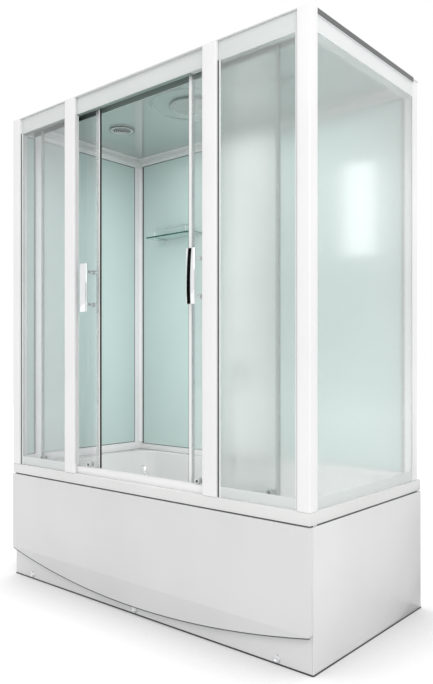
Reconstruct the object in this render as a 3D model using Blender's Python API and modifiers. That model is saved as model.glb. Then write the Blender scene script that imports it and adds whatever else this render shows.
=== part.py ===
"""Shower-bath cabin: a deep bath under a glazed cabin with two sliding doors.

Metres, +Z up. The origin is on the floor, under the middle of the cabin, and the front faces -Y.
Every piece is one named object in the collection shower_cabin. The solids that cut or build up
a piece stay in the collection cutters.
"""
import bmesh
import bpy
from math import atan2, cos, pi, radians, sin
from mathutils import Matrix, Vector

# Overall size of the cabin
WIDTH = 1.70
DEPTH = 0.85
HEIGHT = 2.20

# Clearances and working values shared by all pieces
SEAT_GAP = 0.0003
SHAFT_CLEARANCE = 0.0006
OVERRUN = 0.010
WELD = 0.00001
SMOOTH_ANGLE = radians(35)

# Bath: rim, deck and basin
RIM_TOP = 0.5377
RIM_HEIGHT = 0.0447
RIM_WALL = 0.004
RIM_ROUNDING = 0.005
DECK_END = 0.120
DECK_FRONT = 0.110
DECK_BACK = 0.090
BASIN_FLOOR = 0.140
BASIN_WALL = 0.006
BASIN_END_LEAN = 0.130
BASIN_SIDE_LEAN = 0.075
BASIN_CORNER = 0.110
BASIN_FILLET = 0.050
BASIN_LIP = 0.010

# Waste and overflow of the bath
WASTE_SIDE = 0.100
WASTE_BACK = 0.120
WASTE_BORE = 0.017
WASTE_TUBE = 0.022
WASTE_FLANGE = 0.035
WASTE_FLANGE_THICKNESS = 0.0025
WASTE_LENGTH = 0.080
PLUG_RADIUS = 0.028
PLUG_THICKNESS = 0.006
PLUG_STEM = 0.004
PLUG_STEM_LENGTH = 0.045
OVERFLOW_DROP = 0.1077
OVERFLOW_RADIUS = 0.032
OVERFLOW_THICKNESS = 0.016
OVERFLOW_SHAFT = 0.006
OVERFLOW_SHAFT_LENGTH = 0.028

# Base frame of square steel tube, and its screw feet
TUBE = 0.025
CROSS_INSET = 0.050
FOOT_INSET = 0.0707
FOOT_ROD = 0.006
FOOT_ROD_RECESS = 0.004
FOOT_NUT = 0.011
FOOT_NUT_THICKNESS = 0.008
FOOT_PAD = 0.024
FOOT_PAD_THICKNESS = 0.007
FOOT_NECK = 0.010
FOOT_NECK_HEIGHT = 0.016

# Panels below the rim
PANEL_WALL = 0.004
PANEL_SHADOW_GAP = 0.0045
FLOOR_CLEARANCE = 0.003
PLINTH_SETBACK = 0.020
PLINTH_TOP = 0.250
APRON_END_HEIGHT = 0.129
APRON_MIDDLE_HEIGHT = 0.040
APRON_CORNER = 0.010
APRON_ROUNDING = 0.003

# Fixed glass and the posts round it
PANE = 0.005
PANE_RECESS = 0.0143
SIDE_PANE_RECESS = 0.0107
CORNER_POST_WIDTH = 0.054
CORNER_POST_DEPTH = 0.050
BACK_POST_DEPTH = 0.046
BACK_POST_INSET = 0.010
POST_WALL = 0.005
DOOR_POST_WALL = 0.0025
POST_ROUNDING = 0.006
FRONT_PANE_SHARE = 0.438442
DOOR_POST_WIDTH = 0.070
DOOR_POST_PROUD = 0.001
DOOR_POST_CLEARANCE = 0.0017
DOOR_POST_REAR_INSET = 0.008

# Front header and front sill, which carry the doors on a rib
TRACK_WALL = 0.003
TRACK_DEPTH = 0.0704
HEADER_HEIGHT = 0.0705
HEADER_RIB_RISE = 0.008
RIB_SETBACK = 0.0204
RIB_THICKNESS = 0.003
SILL_HEIGHT = 0.030
SILL_BASE = 0.0035
SILL_BACK_LIP = 0.012

# Headers and sills of the sides and the back
FRAME_WALL = 0.0025
SIDE_CAP_HEIGHT = 0.0147
SIDE_CAP_PROUD = 0.006
SIDE_SILL_HEIGHT = 0.028
LEFT_SILL_HEIGHT = 0.039
BACK_HEADER_HEIGHT = 0.061
LEFT_WALL_RECESS = 0.009
BACK_WALL_RECESS = 0.006

# Roof and its fittings
ROOF_SHEET = 0.003
ROOF_INSET = 0.005
CEILING_DROP = 0.028
CEILING_RING = 0.190
CEILING_RING_WIDTH = 0.014
CEILING_RING_DROP = 0.004
RAIN_RADIUS = 0.100
RAIN_THICKNESS = 0.012
RAIN_ROUNDING = 0.003
RAIN_BEHIND_TRACK = 0.270
FITTING_SPREAD = 0.477
FITTING_BEHIND_TRACK = 0.280
FITTING_RADIUS = 0.060
FITTING_THICKNESS = 0.008
FITTING_SNOUT = 0.045
LAMP_BULGE = 0.006
STEM_RADIUS = 0.011
STEM_HEIGHT = 0.016

# Glass shelf and its chromed carrier on the back wall
SHELF_FROM_WALL = 0.151
SHELF_LENGTH = 0.330
SHELF_REACH = 0.105
SHELF_DROP = 0.4222
SHELF_GLASS = 0.006
SHELF_ROUNDING = 0.002
SHELF_ROD = 0.0035
SHELF_PIN = 0.0028
SHELF_RAIL_RISE = 0.035
SHELF_RAIL_INSET = 0.014
SHELF_RAIL_MARGIN = 0.010
SHELF_POST_MARGIN = 0.052
SHELF_FOOT_RADIUS = 0.010
SHELF_FOOT_THICKNESS = 0.003

# Shower column in the middle of the back wall
COLUMN_WIDTH = 0.320
COLUMN_REACH = 0.060
COLUMN_WALL = 0.004
COLUMN_ROUNDING = 0.035
COLUMN_LAP = 0.040

# Mixer with spout, lever and diverter on the column
MIXER_RISE = 0.442
MIXER_FLANGE = 0.044
MIXER_FLANGE_THICKNESS = 0.007
MIXER_BARREL = 0.024
MIXER_LENGTH = 0.046
MIXER_STUB = 0.012
MIXER_STUB_LENGTH = 0.024
SPOUT_RADIUS = 0.010
SPOUT_DROP = 0.050
SPOUT_BEND = 0.030
SPOUT_REACH = 0.070
DOME_HEIGHT = 0.026
LEVER_SLOT = 0.013
LEVER_SLOT_CLEARANCE = 0.0015
DOME_FLOOR = 0.0025
LEVER_PIN = 0.0025
LEVER_PIN_LENGTH = 0.034
LEVER_ROOT = 0.006
LEVER_THICKNESS = 0.007
LEVER_LENGTH = 0.090
DIVERTER_RISE = 0.160
DIVERTER_RADIUS = 0.022
DIVERTER_THICKNESS = 0.016
DIVERTER_SHAFT = 0.005
DIVERTER_SHAFT_LENGTH = 0.018
DIVERTER_GRIP = 0.009
DIVERTER_GRIP_RISE = 0.012

# Sliding doors: glass, rollers, seals and handles
DOOR_PANE = 0.006
HANDLE_REST_GAP = 0.03785
DOOR_POST_LAP = 0.0125
DOOR_BEYOND_AXLE = 0.016
SEAL_REACH = 0.015
SEAL_LEG = 0.012
SEAL_WALL = 0.0015
ROLLER_RADIUS = 0.012
ROLLER_GROOVE = 0.0095
ROLLER_WIDTH = 0.012
ROLLER_FLANK = 0.001
ROLLER_SIDE_CLEARANCE = 0.0008
ROLLER_COLLAR = 0.007
ROLLER_COLLAR_LENGTH = 0.0075
ROLLER_AXLE = 0.004
ROLLER_NUT = 0.008
ROLLER_NUT_THICKNESS = 0.004
LEADING_ROLLER_INSET = 0.060
TRAILING_ROLLER_INSET = 0.0265
HANDLE_INSET = 0.055
HANDLE_PROUD = 0.001
HANDLE_WIDTH = 0.044
HANDLE_THICKNESS = 0.015
HANDLE_LENGTH = 0.210
HANDLE_RISE = 0.784
HANDLE_ROUNDING = 0.005
HANDLE_EDGE = 0.002
HANDLE_BOLT_SPACING = 0.143
HANDLE_STANDOFF = 0.007
HANDLE_BOLT = 0.004
HANDLE_KNOB = 0.011
HANDLE_KNOB_THICKNESS = 0.012

# Facets: how finely curved shapes are divided
CORNER_STEPS = 4
BASIN_STEPS = 6
FILLET_STEPS = 3
APRON_STEPS = 24
HOLE_STEPS = 12
SMALL_TURN_STEPS = 12
ROLLER_STEPS = 16
KNOB_STEPS = 24
DISC_STEPS = 36

# Planes that several pieces share, worked out from the sizes above
RIGHT = WIDTH / 2
BACK = DEPTH / 2
FRONT = -BACK
DECK = RIM_TOP + SEAT_GAP
POST_TOP = HEIGHT - ROOF_SHEET - SEAT_GAP
POST_INSIDE = RIGHT - CORNER_POST_WIDTH
POST_BACK = BACK - BACK_POST_INSET
BACK_INSIDE = POST_BACK - BACK_POST_DEPTH
FRONT_POST_BACK = FRONT + CORNER_POST_DEPTH
TRACK_FRONT = FRONT + PANE_RECESS + PANE + SEAT_GAP
TRACK_BACK = TRACK_FRONT + TRACK_DEPTH
HEADER_BOTTOM = POST_TOP - HEADER_HEIGHT
HEADER_RIB_TOP = HEADER_BOTTOM + HEADER_RIB_RISE
SILL_TOP = DECK + SILL_HEIGHT
RIB_FRONT = TRACK_FRONT + RIB_SETBACK
RIB_MIDDLE = RIB_FRONT + RIB_THICKNESS / 2
SIDE_PANE_OUTER = RIGHT - SIDE_PANE_RECESS
SIDE_SILL_OUTER = SIDE_PANE_OUTER - PANE - SEAT_GAP
PANE_TOP = HEADER_BOTTOM - SEAT_GAP
BACK_HEADER_BOTTOM = POST_TOP - BACK_HEADER_HEIGHT
SIDE_SILL_TOP = DECK + SIDE_SILL_HEIGHT
LEFT_SILL_TOP = DECK + LEFT_SILL_HEIGHT
CEILING = HEIGHT - CEILING_DROP
WALL_FACE = BACK_INSIDE + BACK_WALL_RECESS
COLUMN_FACE = WALL_FACE - SEAT_GAP - COLUMN_REACH
PANEL_TOP = RIM_TOP - RIM_HEIGHT - PANEL_SHADOW_GAP
PLINTH_FRONT = FRONT + PLINTH_SETBACK
PLINTH_BACK = PLINTH_FRONT + PANEL_WALL
FRAME_TOP = BASIN_FLOOR - BASIN_WALL - SEAT_GAP
FRAME_BOTTOM = FRAME_TOP - TUBE
FRAME_SIDE = RIGHT - max(PANEL_WALL, RIM_WALL) - SEAT_GAP
FRAME_FRONT = PLINTH_BACK + SEAT_GAP
FRAME_BACK = BACK - RIM_WALL - SEAT_GAP
FRONT_PANE_WIDTH = POST_INSIDE * FRONT_PANE_SHARE
DOOR_POST_SPREAD = POST_INSIDE - FRONT_PANE_WIDTH - DOOR_POST_WIDTH / 2
UPPER_AXLE = HEADER_RIB_TOP + SEAT_GAP + ROLLER_GROOVE
LOWER_AXLE = SILL_TOP + SEAT_GAP + ROLLER_GROOVE
DOOR_FRONT = RIB_MIDDLE + ROLLER_WIDTH / 2 + ROLLER_COLLAR_LENGTH + SEAT_GAP
DOOR_BACK = DOOR_FRONT + DOOR_PANE
DOOR_BOTTOM = LOWER_AXLE - DOOR_BEYOND_AXLE
DOOR_TOP = UPPER_AXLE + DOOR_BEYOND_AXLE
DOOR_LEADING = (
    DOOR_POST_SPREAD - DOOR_POST_WIDTH / 2 - HANDLE_REST_GAP - HANDLE_WIDTH / 2 - HANDLE_INSET
)
DOOR_WIDTH = DOOR_POST_SPREAD + DOOR_POST_LAP
DOOR_TRAILING = DOOR_LEADING + DOOR_WIDTH
BASIN_DROP = RIM_TOP - BASIN_FLOOR
OVERFLOW_HEIGHT = RIM_TOP - OVERFLOW_DROP
CROSS_SPREAD = RIGHT - DECK_END - BASIN_END_LEAN - CROSS_INSET
RAIN_PLACE = TRACK_BACK + RAIN_BEHIND_TRACK
FITTING_PLACE = TRACK_BACK + FITTING_BEHIND_TRACK
SHELF_LEFT = POST_INSIDE - SHELF_FROM_WALL
SHELF_TOP = HEADER_BOTTOM - SHELF_DROP
MIXER_HEIGHT = DECK + MIXER_RISE
DIVERTER_HEIGHT = MIXER_HEIGHT + DIVERTER_RISE
LEVER_PIN_OUT = LEVER_ROOT + LEVER_SLOT_CLEARANCE + DOME_FLOOR
HANDLE_MIDDLE = SILL_TOP + HANDLE_RISE

# Directions that turned pieces point in
UP = Vector((0, 0, 1))
TO_FRONT = Vector((0, -1, 0))
TO_BACK = Vector((0, 1, 0))
ALONG = {
    "X": Matrix(((0, 0, 1), (1, 0, 0), (0, 1, 0))).to_4x4(),
    "Y": Matrix(((1, 0, 0), (0, 0, -1), (0, 1, 0))).to_4x4(),
    "Z": Matrix.Identity(4),
}


def clear_scene():
    """Remove every object that the scene starts with."""
    for old in list(bpy.data.objects):
        bpy.data.objects.remove(old, do_unlink=True)


def new_collection(name):
    """Make a collection of the scene."""
    group = bpy.data.collections.new(name)
    bpy.context.scene.collection.children.link(group)
    return group


def finish(name, colour, roughness, metallic=0.0, transmission=0.0):
    """Make a material with one colour, roughness and metallic value."""
    material = bpy.data.materials.new(name)
    material.use_nodes = True
    shader = material.node_tree.nodes["Principled BSDF"]
    shader.inputs["Base Color"].default_value = (*colour, 1)
    shader.inputs["Roughness"].default_value = roughness
    shader.inputs["Metallic"].default_value = metallic
    shader.inputs["Transmission Weight"].default_value = transmission
    return material


def guide(name, mesh):
    """Make an object that starts as a hidden cutter or building block."""
    solid = bpy.data.objects.new(name, mesh)
    cutters.objects.link(solid)
    solid.hide_render = True
    solid.display_type = "WIRE"
    return solid


def piece(solid, name, material, carrier=None):
    """Turn a building block into a named piece with its own material, on its carrier if it moves."""
    cutters.objects.unlink(solid)
    parts.objects.link(solid)
    solid.name = name
    solid.hide_render = False
    solid.display_type = "TEXTURED"
    solid.data.materials.clear()
    solid.data.materials.append(material.copy())
    if carrier:
        solid.parent = carrier
        solid.location = solid.location - carrier.matrix_world.translation
    return solid


def carrier(name, place):
    """Make the empty that a moving group of pieces rides on, at its joint."""
    empty = bpy.data.objects.new(name, None)
    parts.objects.link(empty)
    empty.location = place
    bpy.context.view_layer.update()
    return empty


def box(name, low, high):
    """A box between two corners."""
    bpy.ops.mesh.primitive_cube_add(size=1)
    solid = bpy.context.object
    for group in list(solid.users_collection):
        group.objects.unlink(solid)
    cutters.objects.link(solid)
    low = Vector(low)
    high = Vector(high)
    solid.name = name
    solid.location = (low + high) / 2
    solid.data.transform(Matrix.Diagonal((*(high - low), 1)))
    solid.hide_render = True
    solid.display_type = "WIRE"
    return solid


def rod(name, start, end, radius, steps=SMALL_TURN_STEPS):
    """A round bar between two points."""
    start = Vector(start)
    end = Vector(end)
    mesh = bpy.data.meshes.new(name)
    shape = bmesh.new()
    bmesh.ops.create_cone(
        shape, cap_ends=True, segments=steps, radius1=radius, radius2=radius, depth=(end - start).length
    )
    shape.to_mesh(mesh)
    shape.free()
    solid = guide(name, mesh)
    solid.rotation_mode = "QUATERNION"
    solid.rotation_quaternion = (end - start).to_track_quat("Z", "Y")
    solid.location = (start + end) / 2
    return solid


def turned(name, profile, place, direction, steps, ring=False):
    """A turned shape. Its profile, radius and height, runs down its outer side from the top."""
    mesh = bpy.data.meshes.new(name)
    points = [(radius, 0, height) for radius, height in profile]
    order = list(range(len(points)))
    edges = list(zip(order, order[1:]))
    if ring:
        edges.append((order[-1], order[0]))
    mesh.from_pydata(points, edges, [])
    solid = guide(name, mesh)
    screw = solid.modifiers.new("turn", "SCREW")
    screw.axis = "Z"
    screw.steps = steps
    screw.render_steps = steps
    screw.use_merge_vertices = True
    screw.merge_threshold = WELD
    solid.rotation_mode = "QUATERNION"
    solid.rotation_quaternion = direction.to_track_quat("Z", "Y")
    solid.location = place
    return solid


def made_mesh(name, outline_object):
    """A closed mesh from a curve object, with its caps welded on. The curve is removed."""
    bpy.context.view_layer.update()
    evaluated = outline_object.evaluated_get(bpy.context.evaluated_depsgraph_get())
    mesh = bpy.data.meshes.new_from_object(evaluated)
    shape = bmesh.new()
    shape.from_mesh(mesh)
    bmesh.ops.remove_doubles(shape, verts=shape.verts, dist=WELD)
    bmesh.ops.recalc_face_normals(shape, faces=shape.faces)
    shape.to_mesh(mesh)
    shape.free()
    solid = guide(name, mesh)
    solid.matrix_world = outline_object.matrix_world.copy()
    bpy.data.objects.remove(outline_object, do_unlink=True)
    return solid


def prism(name, outlines, along, start, end):
    """A flat outline, with any holes after it, drawn out along one axis."""
    curve = bpy.data.curves.new(name, "CURVE")
    curve.dimensions = "2D"
    curve.fill_mode = "BOTH"
    curve.extrude = (end - start) / 2
    for outline in outlines:
        spline = curve.splines.new("POLY")
        spline.points.add(len(outline[1:]))
        for point, (across, up) in zip(spline.points, outline):
            point.co = (across, up, 0, 1)
        spline.use_cyclic_u = True
    flat = bpy.data.objects.new(name, curve)
    cutters.objects.link(flat)
    solid = made_mesh(name, flat)
    solid.data.transform(ALONG[along])
    middle = Vector((0, 0, 0))
    middle["XYZ".index(along)] = (start + end) / 2
    solid.location = middle
    return solid


def tube(name, points, radius):
    """A bent round tube through a list of points."""
    curve = bpy.data.curves.new(name, "CURVE")
    curve.dimensions = "3D"
    curve.bevel_depth = radius
    curve.bevel_resolution = 2
    curve.use_fill_caps = True
    spline = curve.splines.new("POLY")
    spline.points.add(len(points) - 1)
    for point, place in zip(spline.points, points):
        point.co = (*place, 1)
    line = bpy.data.objects.new(name, curve)
    cutters.objects.link(line)
    return made_mesh(name, line)


def loft(name, sections):
    """A closed body through level loops that all have the same number of points, lowest first."""
    mesh = bpy.data.meshes.new(name)
    shape = bmesh.new()
    loops = [[shape.verts.new(point) for point in section] for section in sections]
    count = len(loops[0])
    for lower, upper in zip(loops, loops[1:]):
        for index in range(count):
            following = (index + 1) % count
            shape.faces.new((lower[index], lower[following], upper[following], upper[index]))
    shape.faces.new(list(reversed(loops[0])))
    shape.faces.new(loops[-1])
    shape.to_mesh(mesh)
    shape.free()
    return guide(name, mesh)


def combine(solid, other, operation):
    """Add a Boolean of two solids to the first one."""
    boolean = solid.modifiers.new(other.name, "BOOLEAN")
    boolean.operation = operation
    boolean.solver = "EXACT"
    boolean.object = other
    return solid


def cut(solid, *others):
    """Cut other solids out of one."""
    for other in others:
        combine(solid, other, "DIFFERENCE")
    return solid


def join(solid, *others):
    """Join other solids to one."""
    for other in others:
        combine(solid, other, "UNION")
    return solid


def soften(solid, width, segments=2):
    """Round the sharp edges of a solid."""
    bevel = solid.modifiers.new("rounding", "BEVEL")
    bevel.width = width
    bevel.segments = segments
    bevel.limit_method = "ANGLE"
    bevel.angle_limit = SMOOTH_ANGLE
    return solid


def rounded_rectangle(left, right, low, high, radius, steps=CORNER_STEPS):
    """The outline of a rectangle with round corners, anticlockwise."""
    corners = (
        (right - radius, high - radius, 0),
        (left + radius, high - radius, pi / 2),
        (left + radius, low + radius, pi),
        (right - radius, low + radius, 3 * pi / 2),
    )
    outline = []
    for across, up, turn in corners:
        for step in range(steps + 1):
            angle = turn + step * pi / 2 / steps
            outline.append((across + radius * cos(angle), up + radius * sin(angle)))
    return outline


def rectangle(left, right, low, high):
    """The outline of a plain rectangle, anticlockwise."""
    return [(left, low), (right, low), (right, high), (left, high)]


def flipped(outline):
    """An outline mirrored left to right."""
    return [(-across, up) for across, up in outline]


def mirrored(low, high, side):
    """A pair of places on the right of the middle, or the same pair on the left."""
    return (low, high) if side > 0 else (-high, -low)


def basin_section(height, lean, grow, inset):
    """A level outline of the basin at a height. It leans in towards the floor."""
    end_inset = BASIN_END_LEAN * lean - grow + inset
    side_inset = BASIN_SIDE_LEAN * lean - grow + inset
    radius = BASIN_CORNER + grow - inset
    outline = rounded_rectangle(
        -RIGHT + DECK_END + end_inset,
        RIGHT - DECK_END - end_inset,
        FRONT + DECK_FRONT + side_inset,
        BACK - DECK_BACK - side_inset,
        max(radius, BASIN_LIP),
        BASIN_STEPS,
    )
    return [(across, along, height) for across, along in outline]


def basin_sections(grow, top, rolled):
    """The level outlines of the basin from its floor up. The inside ends in a rolled lip."""
    sections = []
    floor = BASIN_FLOOR - grow
    for step in range(FILLET_STEPS, -1, -1):
        angle = step * pi / 2 / FILLET_STEPS
        height = floor + BASIN_FILLET * (1 - sin(angle))
        lean = (RIM_TOP - height) / BASIN_DROP
        sections.append(basin_section(height, lean, grow, BASIN_FILLET * (1 - cos(angle))))
    if rolled:
        height = RIM_TOP - BASIN_LIP
        sections.append(basin_section(height, BASIN_LIP / BASIN_DROP, grow, 0))
        sections.append(basin_section(RIM_TOP - BASIN_LIP / 3, 0, grow + BASIN_LIP / 6, 0))
        sections.append(basin_section(RIM_TOP, 0, grow + BASIN_LIP / 2, 0))
        sections.append(basin_section(top, 0, grow + BASIN_LIP / 2, 0))
    else:
        sections.append(basin_section(top, (RIM_TOP - top) / BASIN_DROP, grow, 0))
    return sections


def overflow_place():
    """Where the overflow's axis meets the inside of the back wall of the basin, and its direction."""
    share = (RIM_TOP - OVERFLOW_HEIGHT) / BASIN_DROP
    lean = atan2(BASIN_SIDE_LEAN, BASIN_DROP)
    place = Vector((WASTE_SIDE, BACK - DECK_BACK - BASIN_SIDE_LEAN * share, OVERFLOW_HEIGHT))
    return place, Vector((0, -cos(lean), sin(lean)))


def make_bath():
    """The bath: a deck with a hanging rim and a deep basin, with holes for waste and overflow."""
    bottom = RIM_TOP - RIM_HEIGHT
    bath = box("bath_block", (-RIGHT, FRONT, bottom), (RIGHT, BACK, RIM_TOP))
    soften(bath, RIM_ROUNDING)
    hollow = box(
        "rim_hollow",
        (-RIGHT + RIM_WALL, FRONT + RIM_WALL, bottom - OVERRUN),
        (RIGHT - RIM_WALL, BACK - RIM_WALL, RIM_TOP - RIM_WALL),
    )
    outside = loft("basin_outside", basin_sections(BASIN_WALL, RIM_TOP - RIM_WALL / 2, False))
    inside = loft("basin_inside", basin_sections(0, RIM_TOP + OVERRUN, True))
    waste_hole = rod(
        "waste_hole",
        (WASTE_SIDE, WASTE_BACK, BASIN_FLOOR - BASIN_WALL - OVERRUN),
        (WASTE_SIDE, WASTE_BACK, BASIN_FLOOR + OVERRUN),
        WASTE_TUBE + SHAFT_CLEARANCE,
        KNOB_STEPS,
    )
    place, direction = overflow_place()
    overflow_hole = rod(
        "overflow_hole",
        place - direction * OVERFLOW_SHAFT_LENGTH,
        place + direction * OVERRUN,
        OVERFLOW_SHAFT + SHAFT_CLEARANCE,
    )
    cut(bath, hollow)
    join(bath, outside)
    cut(bath, inside, waste_hole, overflow_hole)
    piece(bath, "bath_tub", acrylic)


def make_waste():
    """The waste fitting in the basin's floor, its lifting plug and the overflow knob that works it."""
    top = SEAT_GAP + WASTE_FLANGE_THICKNESS
    fitting = turned(
        "waste_ring",
        [
            (WASTE_BORE, top),
            (WASTE_FLANGE - WASTE_FLANGE_THICKNESS, top),
            (WASTE_FLANGE, SEAT_GAP),
            (WASTE_TUBE, SEAT_GAP),
            (WASTE_TUBE, -WASTE_LENGTH),
            (WASTE_BORE, -WASTE_LENGTH),
        ],
        (WASTE_SIDE, WASTE_BACK, BASIN_FLOOR),
        UP,
        KNOB_STEPS,
        ring=True,
    )
    piece(fitting, "bath_waste", chrome)
    seat = top + SEAT_GAP
    plug = turned(
        "plug_shape",
        [
            (0, seat + PLUG_THICKNESS),
            (PLUG_RADIUS / 2, seat + PLUG_THICKNESS),
            (PLUG_RADIUS, seat + PLUG_THICKNESS / 2),
            (PLUG_RADIUS, seat),
            (PLUG_STEM, seat),
            (PLUG_STEM, -PLUG_STEM_LENGTH),
            (0, -PLUG_STEM_LENGTH),
        ],
        (WASTE_SIDE, WASTE_BACK, BASIN_FLOOR),
        UP,
        KNOB_STEPS,
    )
    piece(plug, "waste_plug", chrome)
    place, direction = overflow_place()
    knob = turned(
        "overflow_shape",
        [
            (0, OVERFLOW_THICKNESS),
            (OVERFLOW_RADIUS / 2, OVERFLOW_THICKNESS),
            (OVERFLOW_RADIUS - RIM_ROUNDING, OVERFLOW_THICKNESS - RIM_ROUNDING / 2),
            (OVERFLOW_RADIUS, OVERFLOW_THICKNESS / 2),
            (OVERFLOW_RADIUS, SEAT_GAP),
            (OVERFLOW_SHAFT, SEAT_GAP),
            (OVERFLOW_SHAFT, -OVERFLOW_SHAFT_LENGTH),
            (0, -OVERFLOW_SHAFT_LENGTH),
        ],
        place,
        direction,
        KNOB_STEPS,
    )
    piece(knob, "overflow_knob", chrome)


def foot_places():
    """The name and place of each of the six feet."""
    places = []
    for row, along in (("front", FRAME_FRONT + FOOT_INSET), ("back", FRAME_BACK - FOOT_INSET)):
        for column, across in (("left", -CROSS_SPREAD), ("middle", 0), ("right", CROSS_SPREAD)):
            places.append((f"foot_{row}_{column}", across, along))
    return places


def make_base_frame():
    """The welded tube frame: a ring, three cross tubes and four uprights, with holes for the feet."""
    frame = box("frame_ring", (-FRAME_SIDE, FRAME_FRONT, FRAME_BOTTOM), (FRAME_SIDE, FRAME_BACK, FRAME_TOP))
    inside = box(
        "frame_inside",
        (-FRAME_SIDE + TUBE, FRAME_FRONT + TUBE, FRAME_BOTTOM - OVERRUN),
        (FRAME_SIDE - TUBE, FRAME_BACK - TUBE, FRAME_TOP + OVERRUN),
    )
    cut(frame, inside)
    for across in (-CROSS_SPREAD, 0, CROSS_SPREAD):
        cross = box(
            "frame_cross",
            (across - TUBE / 2, FRAME_FRONT + TUBE / 2, FRAME_BOTTOM),
            (across + TUBE / 2, FRAME_BACK - TUBE / 2, FRAME_TOP),
        )
        join(frame, cross)
    deck_underside = RIM_TOP - RIM_WALL - SEAT_GAP
    for side in (-1, 1):
        left, right = mirrored(FRAME_SIDE - TUBE, FRAME_SIDE, side)
        for front in (FRAME_FRONT, FRAME_BACK - TUBE):
            upright = box(
                "frame_upright",
                (left, front, FRAME_TOP - TUBE / 2),
                (right, front + TUBE, deck_underside),
            )
            join(frame, upright)
    for name, across, along in foot_places():
        hole = rod(
            f"{name}_hole",
            (across, along, FRAME_BOTTOM - OVERRUN),
            (across, along, FRAME_TOP + OVERRUN),
            FOOT_ROD + SHAFT_CLEARANCE,
            HOLE_STEPS,
        )
        cut(frame, hole)
    piece(frame, "base_frame", zinc)


def make_feet():
    """Six screw feet: a pad, a threaded rod and its lock nut under the frame."""
    nut_top = FRAME_BOTTOM - SEAT_GAP
    nut_bottom = nut_top - FOOT_NUT_THICKNESS
    rod_top = FRAME_TOP - FOOT_ROD_RECESS
    for name, across, along in foot_places():
        foot = turned(
            f"{name}_shape",
            [
                (0, rod_top),
                (FOOT_ROD, rod_top),
                (FOOT_ROD, nut_top),
                (FOOT_NUT, nut_top),
                (FOOT_NUT, nut_bottom),
                (FOOT_ROD, nut_bottom),
                (FOOT_ROD, FOOT_NECK_HEIGHT),
                (FOOT_NECK, FOOT_NECK_HEIGHT),
                (FOOT_PAD, FOOT_PAD_THICKNESS),
                (FOOT_PAD, 0),
                (0, 0),
            ],
            (across, along, 0),
            UP,
            SMALL_TURN_STEPS,
        )
        piece(foot, name, black_plastic)


def apron_outline(inset):
    """The outline of the apron, drawn in by an inset. Its lower edge is an arc between round corners."""
    half = RIGHT - APRON_CORNER
    sag = APRON_END_HEIGHT - APRON_MIDDLE_HEIGHT
    arc_radius = (half * half + sag * sag) / (2 * sag)
    middle = APRON_MIDDLE_HEIGHT + arc_radius
    corner = APRON_CORNER - inset
    outline = [(RIGHT - inset, PANEL_TOP - inset), (-RIGHT + inset, PANEL_TOP - inset)]
    rise = APRON_END_HEIGHT + APRON_CORNER
    for step in range(CORNER_STEPS):
        angle = pi + step * pi / 2 / CORNER_STEPS
        outline.append((-half + corner * cos(angle), rise + corner * sin(angle)))
    for step in range(APRON_STEPS + 1):
        across = half * (2 * step / APRON_STEPS - 1)
        drop = ((arc_radius - inset) ** 2 - (across * (arc_radius - inset) / arc_radius) ** 2) ** 0.5
        outline.append((across * (arc_radius - inset) / arc_radius, middle - drop))
    for step in range(1, CORNER_STEPS + 1):
        angle = 3 * pi / 2 + step * pi / 2 / CORNER_STEPS
        outline.append((half + corner * cos(angle), rise + corner * sin(angle)))
    return outline


def make_panels():
    """The panels under the rim: the arched front apron, the plinth behind it and two flat sides."""
    apron_back = PLINTH_FRONT - SEAT_GAP
    apron = prism("apron_block", [apron_outline(0)], "Y", FRONT, apron_back)
    soften(apron, APRON_ROUNDING)
    inside = [apron_outline(PANEL_WALL)]
    hollow = prism("apron_hollow", inside, "Y", FRONT + PANEL_WALL, apron_back + OVERRUN)
    cut(apron, hollow)
    piece(apron, "front_apron", acrylic)
    plinth_end = RIGHT - PANEL_WALL - SEAT_GAP
    plinth = box(
        "plinth_sheet", (-plinth_end, PLINTH_FRONT, FLOOR_CLEARANCE), (plinth_end, PLINTH_BACK, PLINTH_TOP)
    )
    piece(plinth, "front_plinth", acrylic)
    for side, word in ((-1, "left"), (1, "right")):
        left, right = mirrored(RIGHT - PANEL_WALL, RIGHT, side)
        panel = box("side_sheet", (left, PLINTH_FRONT, FLOOR_CLEARANCE), (right, BACK, PANEL_TOP))
        piece(panel, f"side_panel_{word}", acrylic)


def make_corner_posts():
    """Four hollow corner posts, which stand on the rim and reach up to the roof's flange."""
    for side, word in ((-1, "left"), (1, "right")):
        for front, back, outer, place in (
            (FRONT, FRONT_POST_BACK, RIGHT, "front"),
            (BACK_INSIDE, POST_BACK, RIGHT - BACK_POST_INSET, "back"),
        ):
            left, right = mirrored(POST_INSIDE, outer, side)
            outlines = [
                rounded_rectangle(left, right, front, back, POST_ROUNDING),
                rectangle(left + POST_WALL, right - POST_WALL, front + POST_WALL, back - POST_WALL),
            ]
            post = prism("corner_post", outlines, "Z", DECK, POST_TOP)
            piece(post, f"{place}_{word}_post", white_metal)


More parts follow.
